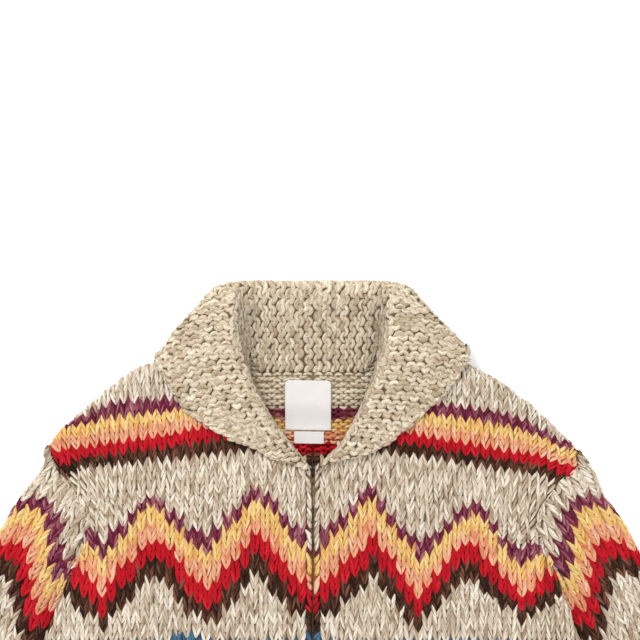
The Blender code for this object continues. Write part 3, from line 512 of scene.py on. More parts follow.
def front_chart(side, c, j):
    """Row j counts down from LOW_AT."""
    c, j = np.clip(np.asarray(c, int), 0, 28), np.asarray(j, int)
    top, low = np.array(OFF_TOP[side])[c], np.array(OFF_LOW[side])[c]
    a, b, deep = j - top, j - low, top >= 7
    kind = np.select([a < np.where(deep, 0, 1), a < 3, (a < np.where(deep, 5, 6)) & (b < 8), b < 8, b < 11,
                      b < np.where(deep, 13, 14)], [NATURAL, PURPLE, YELLOW, SALMON, RED, BROWN], NATURAL)
    return lower_bands(kind, j, np.where((side < 0) & (c >= 11) & (c <= 13), 23, 24))


def edge_chart(j):
    """The rolled edge beside the zip."""
    j = np.asarray(j, int)
    kind = np.select([j < 10, j < 11, j < 14, j < 16, j < 19, j < 22], [NATURAL, PURPLE, YELLOW, SALMON, RED, BROWN],
                     NATURAL)
    return lower_bands(kind, j, 22)


# height beside the zip and fall outwards of the row named v
ROW_AT = {-1: ([364, 376.7, 402.1, 427.5, 481, 500, 535, 560], [393, 396.1, 412, 445.5, 481, 500, 535, 560],
               [0.045, 0.106, 0.151, 0.100, 0.08, 0.04, 0.02, 0.0]),
          1: ([364, 376.7, 402.1, 427.5, 481, 500, 535, 575, 610], [393.5, 398.5, 417.4, 443.2, 481, 500, 535, 575, 610],
              [0.09, 0.14, 0.17, 0.14, 0.14, 0.13, 0.07, 0.05, 0.0])}


def level(side, v, d):
    """Photo height of the row named v, d out from the zip line."""
    v = np.asarray(v, float)
    vs, base, slope = ROW_AT[side]
    y = np.interp(v, vs, base) + np.minimum(v - vs[0], 0) + np.maximum(v - vs[-1], 0)
    bend = np.interp(v, [364, 376.7, 402.1], [14, 4.5, 0]) * S((d - 195) / 48)
    bend = bend + np.interp(v, [402.1, 427.5, 450, 470], [0, 9, 6, 0]) * S((d - 228) / 22)
    if side > 0:
        bend = bend + np.interp(v, [376.7, 427.5], [4.5, 0]) * S((d - 226) / 22)
    return y + np.interp(v, vs, slope) * d + bend


def slope_at(side, v, d):
    return (level(side, v, d + 2) - level(side, v, d - 2)) / 4


def body_cells(side, first=FIRST):
    """Middle, pitch, slope and colour of every stitch on one half of the body."""
    ds, ys, ps, ss, ks = [], [], [], [], []
    for c in range(0, 29):
        d = first + c * WALE
        vs = 364 + ROW * np.arange(-14, 10)
        ya, yb = level(side, vs, d), level(side, vs + ROW, d)
        ds.append(np.full(len(vs), d))
        ys.append((ya + yb) / 2)
        ps.append(yb - ya)
        ss.append(slope_at(side, vs + ROW / 2, d))
        ks.append(yoke(np.arange(-14, 10)))
        a, b = float(level(side, 364 + 10 * ROW, d)), float(level(side, LOW_AT, d))
        n = max(int(round((b - a) / ROW_LOW)), 1)
        f = (np.arange(n) + 0.5) / n
        vm = 427.5 + (LOW_AT - 427.5) * f
        ds.append(np.full(n, d))
        ys.append(a + (b - a) * f)
        ps.append(np.full(n, (b - a) / n))
        ss.append(slope_at(side, vm, d))
        ks.append(np.full(n, NATURAL))
        j = np.arange(78)
        va = LOW_AT + ROW_LOW * j
        ya, yb = level(side, va, d), level(side, va + ROW_LOW, d)
        ds.append(np.full(len(j), d))
        ys.append((ya + yb) / 2)
        ps.append(yb - ya)
        ss.append(slope_at(side, va + ROW_LOW / 2, d))
        ks.append(front_chart(side, np.full(len(j), c), j))
    return [np.concatenate(q) for q in (ds, ys, ps, ss, ks)]


def body_colour(side, d, y):
    """Colour number at a place on the body."""
    v = np.asarray(y, float) - 0.1 * d
    for _ in range(30):
        v = v - (level(side, v, d) - y) * 0.5
    c = np.clip(np.floor((d - FIRST + WALE / 2) / WALE), 0, 28).astype(int)
    k = np.floor((v - 364) / ROW).astype(int)
    j = np.floor((v - LOW_AT) / ROW_LOW).astype(int)
    low = np.where(d < FIRST - WALE / 2, edge_chart(j), front_chart(side, c, j))
    return np.where(v < 427.5, yoke(k), np.where(v < LOW_AT, NATURAL, low))


# --------------------------------------------------------------- placing cloth
def shoulder_gap(d, y):
    """Distance below the shoulder line, along the way the cloth folds over it."""
    slope = np.interp(d, 0.5 * (SH[1:, 0] + SH[:-1, 0]), np.diff(SH[:, 1]) / np.diff(SH[:, 0]))
    return (y - np.interp(d, SH[:, 0], SH[:, 1])) / (1 + 0.43 * slope)


def settle(side, d, y):
    """The sleeve heads lie a little further out, and the right shoulder a little lower."""
    line = np.interp(d, SH[:, 0], SH[:, 1])
    down, out = 0.0, np.interp(y, [466, 478, 490, 502, 514, 526], [0, 2.5, 4.5, 5.6, 2.5, 0])
    if side > 0:
        down = np.interp(d, [140, 150, 160, 172, 188, 205, 218, 232, 245, 252, 267, 285],
                         [0, 2.5, 5.2, 7.2, 7.2, 6.8, 5.5, 5.6, 6.9, 7.2, 5.0, 0])
        out = np.interp(y, [440, 452, 462, 470, 478, 486, 498, 520, 545, 560],
                        [0, 1.5, 7.6, 10.6, 9.8, 8.0, 4.2, 3.8, 1.0, 0])
    cap = np.interp(y, HEAD_Y, HEAD_D)
    return d + out * S((d - cap + 34) / 34), y + down * (1 - S((y - line) / 60))


def place_body(side, d, y, h, front=True):
    """Flat place and height over the outer face, to the surface folded at its edges."""
    R = (TOP_FRONT - MID_BACK if front else MID_BACK) - GAP / 2
    d, y, h = (np.asarray(q, float) for q in (d, y, h))
    s = np.where(y > 566, side_edge(y) - d, 99.0)
    s2 = np.where((d > 66) & (y < 470), shoulder_gap(d, y), 99.0)
    use2 = s2 < s
    s = np.where(use2, s2, s)
    a = np.clip((R - s) / R, 0, 1.75)
    move = np.where(s < R, s - R + (R + h) * np.sin(a), 0.0)
    dx = np.where(use2, 0.395, 1.0) * move          # over the shoulder, or out to the side
    dy = np.where(use2, -0.919, 0.0) * move
    nd, ny = d + dx, y + dy
    fd, fy = d - np.where(s < R, (R - s), 0) * np.where(use2, 0.395, 1.0), y + np.where(s < R, R - s, 0) * np.where(use2, 0.919, 0.0)
    drop = (R + h) * (1 - np.cos(a))
    # the armhole seam pulls the cloth in
    gap = np.where((y > 440) & (y < 575), np.interp(y, ARM_Y, ARM_D) - d, 99.0)
    if front:
        seam = -0.9 * (1 - S(np.abs(gap) / 6.0))
        roll = 3.4 * (1 - np.sqrt(np.clip(1 - ((4.6 - d) / 4.6) ** 2, 0, 1))) * (d < 4.6)
        z = front_top(side, fd, fy) + h - drop + seam - roll
    else:
        z = np.maximum(lift(side, fd, fy) - h + drop, 0.08)
    nd, ny = settle(side, nd, ny)
    return world(side * nd, ny, z)


def seg_dist(px, py, line):
    """Signed distance inside a polyline that runs down the outside (positive towards
    smaller d) and its outward normal there."""
    best = np.full(np.shape(px), 1e9)
    sign = np.ones(np.shape(px))
    nx, ny = np.ones(np.shape(px)), np.zeros(np.shape(px))
    for (ax, ay), (bx, by) in zip(line[:-1], line[1:]):
        vx, vy = bx - ax, by - ay
        ln = math.hypot(vx, vy)
        t = np.clip(((px - ax) * vx + (py - ay) * vy) / ln ** 2, 0, 1)
        qx, qy = ax + vx * t, ay + vy * t
        dist = np.hypot(px - qx, py - qy)
        ox, oy = vy / ln, -vx / ln              # outward, on the side of larger d
        side = (px - qx) * ox + (py - qy) * oy
        near = dist < best - 1e-6
        best = np.where(near, dist, best)
        sign = np.where(near, np.where(side > 0, -1.0, 1.0), sign)
        nx, ny = np.where(near, ox, nx), np.where(near, oy, ny)
    return best * sign, nx, ny


SLEEVE_OUT = SLEEVE_CAP + [(r[0], r[1]) for r in SLEEVE]
SLEEVE_IN = [(r[2], r[3]) for r in SLEEVE]


def smooth_line(points, n):
    """A rounder line through the same places."""
    p = np.array(points, float)
    for _ in range(n):
        q = 0.75 * p[:-1] + 0.25 * p[1:]
        r = 0.25 * p[:-1] + 0.75 * p[1:]
        p = np.concatenate([p[:1], np.stack([q, r], 1).reshape(-1, 2)[1:-1], p[-1:]])
    return [tuple(a) for a in p]


OUT_LINE = smooth_line([(264.5, 440.0)] + SLEEVE_OUT + [(461, 993)], 2)
IN_LINE = smooth_line([(238.0, 552.0)] + SLEEVE_IN + [(372, 1019)], 2)


def place_sleeve(side, d, y, h, top=True):
    """Flat place on a sleeve's upper or lower layer to its surface."""
    d, y, h = (np.asarray(q, float) for q in (d, y, h))
    so, ox, oy = seg_dist(d, y, OUT_LINE)
    si, ix, iy = seg_dist(d, y, IN_LINE)
    si, ix, iy = -si, -ix, -iy                       # inner edge: inside is towards larger d
    arm = np.interp(y, ARM_Y, ARM_D)
    tube_ = y > 570
    inner = np.where(tube_, si, np.maximum(d - arm, 0) + 30)
    zt = sleeve_top(side, d, y, np.maximum(so, 6.0), np.maximum(inner, 0.0))
    r = np.clip(sleeve_top(side, d, y, np.full(d.shape, 6.0), np.maximum(inner, 0)) / 2, 4.9, 7.0)
    # outer fold
    a = np.clip((r - so) / r, 0, 1.9)
    on = so < r
    move = np.where(on, so - r + (r + h) * np.sin(a), 0.0)
    nd, ny = d + ox * move, y + oy * move
    z_fold = r + (r + h) * np.cos(a)
    z = np.where(on, z_fold, zt + h)
    z_low = np.where(on, r - (r + h) * np.cos(a), -h)
    # inner fold, where the sleeve is a tube
    q = SLEEVE_FLAT / 2
    b = np.clip((q - si) / q, 0, 1.9)
    turn = (si < q) & (y > 604)
    move = np.where(turn, si - q + (q + h) * np.sin(b), 0.0)
    nd, ny = nd + ix * move, ny + iy * move
    z = np.where(turn, q + (q + h) * np.cos(b), z)
    z_low = np.where(turn, q - (q + h) * np.cos(b), z_low)
    # the armhole seam
    gap = np.where(y < 575, d - arm, 99.0)
    high = front_top(side, arm - 0.6, np.minimum(y, 566)) - sleeve_top(side, d, y, np.maximum(so, 6.0), inner)
    lifted = np.where(y < 572, high * (1 - S(np.maximum(gap, 0) / 16)), 0.0) * S(so / 9)
    z = z + np.where(top, lifted - 0.9 * (1 - S(np.abs(gap) / 6.0)) * (y < 572), 0.0)
    nd, ny = settle(side, nd, ny)
    return world(side * nd, ny, z if top else np.maximum(z_low, 0.08))


# ------------------------------------------------------------ thin ground shells
def shell(name, outer, inner, quads, mat, colour, colour_in=None):
    """Closed thin cloth between two sheets of matching points."""
    outer, inner = np.asarray(outer), np.asarray(inner)
    n = len(outer)
    quads = np.asarray(quads, np.int64)
    q2 = quads[:, ::-1] + n
    edges = {}
    for f in quads:
        for k in range(4):
            a, b = int(f[k]), int(f[(k + 1) % 4])
            if a != b:
                edges[(a, b)] = 1
    rim = [(b, a, n + a, n + b) for a, b in edges if (b, a) not in edges]
    allq = np.concatenate([quads, q2, np.array(rim, np.int64).reshape(-1, 4)])
    verts = np.concatenate([outer, inner])
    # signed volume decides which way the faces look
    p = verts[allq]
    vol = np.einsum("ij,ij->i", p[:, 0], np.cross(p[:, 1], p[:, 2])).sum() \
        + np.einsum("ij,ij->i", p[:, 0], np.cross(p[:, 2], p[:, 3])).sum()
    if vol < 0:
        allq = allq[:, ::-1]
    cols = np.concatenate([colour, colour if colour_in is None else colour_in])
    return make_mesh(name, verts, allq, np.zeros((0, 3)), mat, cols)


def grid_quads(rows, cols, start=0):
    r, c = np.meshgrid(np.arange(rows - 1), np.arange(cols - 1), indexing="ij")
    a = (start + r * cols + c).ravel()
    return np.stack([a, a + 1, a + cols + 1, a + cols], -1)


# painted shade: the shell under the stitches takes the dark yarn colour, darkened further, for the shade in the gaps
# between the stitches
def ground(kind):
    return DARK[kind] * 0.56


def neck_rows(which):
    rows = [(r[1] + 0.9, r[2]) for r in COLLAR[which][:9]]
    rows[0] = (1.2, 476.0)
    return rows + [SHOULDER[0]]


BACK_NECK = [(0, 474), (0, 452), (0, 432), (0, 412), (0, 393), (0, 373), (34, 373),
             (53, 373), (66, 367), SHOULDER[0]]


def body_grid(which, front):
    """Flat places over half of the body, unrolled past its side and shoulder folds."""
    R = (TOP_FRONT - MID_BACK if front else MID_BACK) - GAP / 2
    past = R * (math.pi / 2 - 1)
    rows = []
    for od, oy, cy, fold in BODY:
        rows.append((0.6 if front else 0.0, cy, od + past * fold, oy, 0.0))
    neck = neck_rows(which) if front else BACK_NECK
    for k, ((nd, ny), (od, oy)) in enumerate(zip(neck, ARM_TOP)):
        if k < len(ARM_TOP) - 2:
            rows.append((nd, ny, od, oy, (k + 1) / len(ARM_TOP)))
    rows = np.array(rows, float)
    fine = []
    for a, b in zip(rows[:-1], rows[1:]):
        n = max(int(max(abs(a[1] - b[1]), abs(a[3] - b[3])) / 9), 1)
        for k in range(n):
            fine.append(a + (b - a) * k / n)
    fine.append(rows[-1])
    fine = np.array(fine)
    us = np.concatenate([np.linspace(0, 0.93, 28), [0.95, 0.965, 0.98, 0.99, 1.0]])
    d = fine[:, 0:1] + (fine[:, 2:3] - fine[:, 0:1]) * us
    y = fine[:, 1:2] + (fine[:, 3:4] - fine[:, 1:2]) * us
    y = y + np.interp(us, SH_U, SH_BULGE)[None] * fine[:, 4:5] ** 2.2
    sd = SH[0, 0] + (SH[-1, 0] - SH[0, 0]) * us
    sy = np.interp(sd, SH[:, 0], SH[:, 1])
    for s in (9.0, R, 0.66 * R, 0.33 * R, 0.0, -0.5 * past, -past):
        d = np.concatenate([d, (sd - 0.43 * s)[None]])
        y = np.concatenate([y, (sy + s)[None]])
    return d, y


def declare(base, piece_nodes, extra=()):
    for ob in (base,) + tuple(extra):
        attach(ob, "root")
    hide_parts(*piece_nodes)


# ---------------------------------------------------------------------- fronts
def neck_limit(which, y):
    rows = COLLAR[which]
    yy = np.array([r[2] for r in rows])[::-1]
    dd = np.array([r[1] for r in rows])[::-1]
    return np.where(y < 472, np.interp(y, yy, dd), 0.0)


def groove(y):
    """How far the knit stays from the zip line: the opening narrows downwards."""
    return np.interp(y, [464, 470, 490, 502, 556, 572], [1.2, 2.1, 2.0, 1.35, 1.15, 0.65])


def unit(dx, dy):
    n = np.hypot(dx, dy)
    return np.stack([dx / n, dy / n], -1)


def front(which):
    side = -1 if which == "left" else 1
    R = TOP_FRONT - MID_BACK - GAP / 2
    d, y, p, s, k = body_cells(side)
    arm = np.interp(y, ARM_Y, ARM_D)
    keep = (d > neck_limit(which, y) + np.where(y < 448, 5.6, np.where(y < 462, 3.0, -2.0))) & (y < 972.5)
    keep &= np.where(y > 566, d < side_edge(y) + 3.0, d < arm + np.where(y < 458, -1.6, 2.5))
    keep &= ~((d > 66) & (shoulder_gap(d, y) < -2.6))
    keep &= ~((d <= 71.5) & (y < 353))
    d, y, p, s, k = (q[keep] for q in (d, y, p, s, k))
    rng = np.random.default_rng(11 + side)
    # the cloth's own unevenness: columns wander a little
    wob = 1.1 * np.sin(y / 47 + 1.3 * side + d / 60) + 0.8 * np.sin(y / 19 + d / 23)
    wob = wob * S((d - 8) / 30)
    e_r = unit(np.ones(len(d)), s)
    lean = 0.34 * S((d - 186) / 44) * S((y - 426) / 26) * S((580 - y) / 60)
    e_c = unit(-lean - 0.25 * s, np.ones(len(d)))
    pts = np.stack([d + wob, y + 0.6 * np.sin(d / 31 + y / 57)], -1)
    wild = 1.0 + 1.4 * S((d - np.interp(y, ARM_Y, ARM_D) + 22) / 22) * (y < 575)
    v, cols = knit_legs(pts, e_r, e_c, p, k, rng, jitter=wild)
    vd, vy, vh = v[..., 0], v[..., 1], v[..., 2]
    reach = np.interp(vy, ARM_Y, ARM_D) + np.interp(vy, [436, 448, 462, 482], [-3.5, -2.5, -0.3, 2.6])
    vd = np.where((vy > 425) & (vy < 566), np.minimum(vd, reach), vd)
    vd = np.maximum(vd, groove(vy))
    st = Strands(4, LINES, flip=side > 0)
    st.add(place_body(side, vd, vy, vh), cols)
    # the rolled edge beside the zip
    ey = np.arange(470.0, 970.0, ROW_LOW)
    n = len(ey)
    t = np.array([0.0, 0.14, 0.38, 0.64, 0.88, 1.0])
    jit = rng.normal(0, 1, (n, 3))
    sway = (0.5 * np.sin(ey / 9.0 + side) + 0.35 * np.sin(ey / 4.1 + 2 * side))[:, None]
    path = np.stack([3.6 + 0.5 * groove(ey)[:, None] + (1.9 + 0.45 * jit[:, 1:2]) * np.cos(math.pi * t)[None]
                     + (sway + 0.75 * jit[:, :1]) * np.ones((1, 6)),
                     ey[:, None] + (t[None] - 0.5) * (12.0 + 2.2 * jit[:, 2:3]) + 1.3 * jit[:, 1:2]], -1)
    vv = tube(path, CROWN6[None] * 1.1 + 0.2 * jit[:, 2:3], EDGE6[None] * np.ones((n, 1)), 2.4 * W6[None] * np.ones((n, 1)), LINES)
    j = np.floor((ey - LOW_AT) / ROW_LOW).astype(int)
    # painted shade: the rolled edge's strands darker at their sides and at one end
    ec = yarn_colour(edge_chart(j), LINES, 4, rng, painted_shade_of(4, LINES, 0.72, [0.95, 1.0, 0.95, 0.75]))
    st.add(place_body(side, np.maximum(vv[..., 0], groove(vv[..., 1])), vv[..., 1], vv[..., 2]),
           with_ends(ec, n, 4, LINES, 0.8))
    stitches = st.build("front_%s_stitches" % which)
    gd, gy = body_grid(which, True)
    kind = body_colour(side, gd.ravel(), gy.ravel())
    base = shell("front_%s_knit" % which, place_body(side, gd.ravel(), gy.ravel(), -1.9),
                 place_body(side, gd.ravel(), gy.ravel(), -4.4), grid_quads(*gd.shape), FELT, ground(kind))
    declare(base, ["front_" + which], [stitches])
    return stitches


front("left")
front("right")


# --------------------------------------------------------------------- sleeves
COL_Y = [430, 565, 595, 620, 645, 672, 710, 750, 800, 850, 900, 1010]
COL_A = [28, 28, 24, 20, 15.5, 12.5, 13.5, 14, 15, 15.8, 16.2, 16.2]
ROW_Y = [430, 565, 645, 700, 1010]
ROW_A = [23, 23, 18, 15.5, 15.5]
SLEEVE_ROW = 6.4
SLEEVE_AT = {-1: (283.0, 494.0), 1: (279.5, 491.5)}


def sleeve_axis(side):
    """Column 0 of a sleeve: places every millimetre along it, from 110 mm above its origin."""
    d0, y0 = SLEEVE_AT[side]
    down, up = [(d0, y0)], []
    for step, store, n in ((1.0, down, 560), (-1.0, up, 110)):
        d, y = d0, y0
        for _ in range(n):
            a = math.radians(float(np.interp(y, COL_Y, COL_A)))
            d, y = d + step * math.sin(a), y + step * math.cos(a)
            store.append((d, y))
    return np.array(up[::-1] + down)


def sleeve_cells(side):
    axis = sleeve_axis(side)
    k, n = np.meshgrid(np.arange(-7, 17), np.arange(-15, 86), indexing="ij")
    k, n = k.ravel(), n.ravel()
    s = (n + 0.5) * SLEEVE_ROW + 110
    at = np.stack([np.interp(s, np.arange(len(axis)), axis[:, q]) for q in (0, 1)], -1)
    ra = np.radians(np.interp(at[:, 1], ROW_Y, ROW_A))
    ca = np.radians(np.interp(at[:, 1], COL_Y, COL_A))
    e_r = np.stack([np.cos(ra), -np.sin(ra)], -1)            # outward along the row
    e_c = np.stack([np.sin(ca), np.cos(ca)], -1)
    p = at - e_r * (k * SLEEVE_WALE)[:, None]
    return p, e_r, e_c, k, n


def sleeve_chart(k, n):
    table = np.array([1, 0, 0, 2, 4, 7, 9, 8, 6, 3])       # rows below the peak, by column
    off = table[np.asarray(k, int) % 10]
    kind = banded(n - off)
    more = np.array([0, 0, 0, 1, 2, 2, 2, 0, 0, 0])[np.asarray(k, int) % 10]
    kind = np.where((n < off) & (n >= off - more), PURPLE, kind)
    kind = np.where((n >= 25) & (n < 28), BLUE, kind)
    return np.where(n == 28, BROWN, kind)


def sleeve_ring(side, od, oy, nd, ny, tube_, inset):
    """Points round one section: inner edge, over the top, round the outer fold, back below."""
    width = math.hypot(od - nd, oy - ny)

    def at(s, z):
        t = s / width
        return (side * (nd + (od - nd) * t), ny + (oy - ny) * t, z)

    def top(s):
        t = s / width
        d, y = nd + (od - nd) * t, ny + (oy - ny) * t
        return float(sleeve_top(side, d, y, width - s, s if tube_ else s + 30))

    start = SLEEVE_FLAT / 2 if tube_ else min(5.1, 0.16 * width)
    high = float(front_top(side, nd - 0.6, ny)) if not tube_ else 0.0
    r = top(max(width - 5.5, 0.5 * width)) / 2
    reach = min(r, 0.62 * width)
    span = width - reach - start
    thin = min(inset, 0.42 * width)
    ri, rp = r - inset, reach - min(thin, 0.9 * reach)
    pts = []
    if tube_:
        q = SLEEVE_FLAT / 2 - inset
        for a in (0, 30, 60, 90):
            a = math.radians(a)
            z = SLEEVE_FLAT / 2 + q * math.sin(a) if a < 1.5 else top(start) - inset
            pts.append(at(SLEEVE_FLAT / 2 - q * math.cos(a), z))
    else:
        for s in (0.0, 0.3 * start, 0.65 * start, start):
            dip = 0.9 * float(1 - S(s / 6.0))
            pts.append(at(s, high + (top(s) - high) * s / max(start * 3, 1) - inset - dip))
    for t in np.linspace(0.08, 0.96, 14):
        s = start + span * t
        z = top(s)
        if not tube_:
            z = z + (high - top(0.0)) * float(1 - S(s / 16)) - 0.9 * float(1 - S(s / 6.0))
        pts.append(at(s, z - inset))
    edge = width - reach
    for a in range(90, -91, -18):
        a = math.radians(a)
        pts.append(at(edge + rp * math.cos(a), r + ri * math.sin(a)))
    for t in np.linspace(0.06, 0.94, 8):
        pts.append(at(start + span * (1 - t), inset))
    if tube_:
        q = SLEEVE_FLAT / 2 - inset
        for a in (90, 60, 30, 0):
            a = math.radians(a)
            pts.append(at(SLEEVE_FLAT / 2 - q * math.cos(a), SLEEVE_FLAT / 2 - q * math.sin(a)))
    else:
        for s in (start, 0.65 * start, 0.3 * start, 0.0):
            pts.append(at(s, inset))
    return pts


def between(a, b, n):
    a, b = np.array(a, float), np.array(b, float)
    return [tuple(a + (b - a) * k / n) for k in range(n)]


def sleeve(which):
    side = -1 if which == "left" else 1
    rng = np.random.default_rng(23 + side)
    p, e_r, e_c, k, n = sleeve_cells(side)
    kind = sleeve_chart(k, n)
    d, y = p[:, 0], p[:, 1]
    so, _, _ = seg_dist(d, y, OUT_LINE)
    si = -seg_dist(d, y, IN_LINE)[0]
    # below the cuff seam there is no sleeve
    (ad, ay), (bd, by) = (444.0, 933.0), (355.0, 959.0)
    end = ay + (by - ay) * (d - ad) / (bd - ad)
    arm = np.interp(y, ARM_Y, ARM_D)
    inside = np.where(y > 566, si > -3.0, d > arm - 2.5) & (y < end - 2.5) & (y > 452.5)
    hidden = (y > 600) & (y < 800) & (d < side_edge(y) - 22)
    wob = np.stack([0.7 * np.sin(y / 37 + side) + 0.4 * np.sin(y / 17 + d / 20), 0.5 * np.sin(d / 29 + y / 41)], -1)
    st = None
    top = inside & (so > -3.9) & ~hidden
    wild = 1.0 + 1.3 * S((arm + 20 - d) / 20) * (y < 575)
    v, cols = knit_legs((p + wob)[top], e_r[top], e_c[top], np.full(top.sum(), SLEEVE_ROW), kind[top], rng,
                        wale=SLEEVE_WALE, half=2.35, jitter=wild[top])
    vd, vy, vh = v[..., 0], v[..., 1], v[..., 2]
    vd = np.where((vy > 440) & (vy < 566), np.maximum(vd, np.interp(vy, ARM_Y, ARM_D) - np.interp(vy, [462, 480], [0.2, 2.2])), vd)
    st = Strands(4, LINES, flip=side < 0)
    st.add(place_sleeve(side, vd, vy, vh), cols)
    upper = st.build("sleeve_%s_stitches" % which)
    low = inside & (so > -1.5)
    v, cols = knit_legs(p[low], e_r[low], e_c[low], np.full(low.sum(), SLEEVE_ROW), kind[low], rng, fine=False,
                        wale=SLEEVE_WALE)
    st = Strands(2, 3, flip=side > 0)
    st.add(place_sleeve(side, v[..., 0], v[..., 1], v[..., 2] - 1.15, top=False), cols)
    lower = st.build("sleeve_%s_under_stitches" % which)
    rows = []
    cap = list(zip(SLEEVE_CAP, ARM_SEAM))
    for (o, i), (o2, i2) in zip(cap[:-1], cap[1:]):
        rows += [(q[0], q[1], q[2] + 0.62, q[3], False) for q in between(o + i, o2 + i2, 3)]
    rows.append(cap[-1][0] + (cap[-1][1][0] + 0.62, cap[-1][1][1], False))
    for a, b in zip(SLEEVE[:-1], SLEEVE[1:]):
        rows += [q + (True,) for q in between(a, b, max(int((b[1] - a[1]) / 11), 1))]
    rows.append(SLEEVE[-1] + (True,))
    outer, inner, kinds = [], [], []
    axis = sleeve_axis(side)
    for row in rows:
        ring = sleeve_ring(side, *row, 1.9)
        outer += ring
        inner += sleeve_ring(side, *row, 4.4)
    outer, inner = np.array(outer), np.array(inner)
    cols = len(outer) // len(rows)
    # the nearest stitch gives the ground its colour
    gd, gy = side * outer[:, 0], outer[:, 1]
    near = np.array([np.argmin((p[:, 0] - a) ** 2 + (p[:, 1] - b) ** 2) for a, b in zip(gd, gy)])
    for sheet in (outer, inner):
        nd, ny = settle(side, side * sheet[:, 0], sheet[:, 1])
        sheet[:, 0], sheet[:, 1] = side * nd, ny
    base = shell("sleeve_%s_knit" % which, world(*outer.T), world(*inner.T), grid_quads(len(rows), cols), FELT,
                 ground(kind[near]))
    declare(base, ["sleeve_" + which],
            [upper, lower])


sleeve("left")
sleeve("right")


# ------------------------------------------------------------------- back panel
def arcs(centre, e_a, e_b, wide, deep, half, tall, kind, rng, smile=1.0, steps=7, lines=4, tuck=2.4, low=-1.9):
    """Curved bumps of yarn lying across a row: centre (N, 2), e_a along it, e_b down it."""
    t = np.linspace(-1, 1, steps)
    n = len(centre)
    jit = rng.normal(0, 1, (n, 4))
    a = 0.5 * wide * t[None] * (1 + 0.05 * jit[:, :1]) + 0.25 * jit[:, 1:2]
    b = smile * deep * (0.5 - t ** 2)[None] + 0.25 * jit[:, 2:3]
    path = centre[:, None] + e_a[:, None] * a[..., None] + e_b[:, None] * b[..., None]
    crown = tall - tuck * np.abs(t) ** 2.4 + 0.15 * jit[:, 3:4]
    edge = np.minimum(low + 0 * crown, crown)
    w = half * np.sqrt(np.clip(1 - 0.42 * t ** 2, 0, 1)) * np.ones((n, 1))
    w[:, 0] = w[:, -1] = 0
    tubes = tube(path, crown, edge, w, lines)
    rings = steps - 2
    # painted shade: each arc darker towards its sides and ends, where it dips under its neighbours
    cols = yarn_colour(kind, lines, rings, rng, painted_shade_of(rings, lines, 0.62, 0.78 + 0.22 * np.sqrt(1 - t[1:-1] ** 2)))
    return tubes, with_ends(cols, n, rings, lines, 0.6)


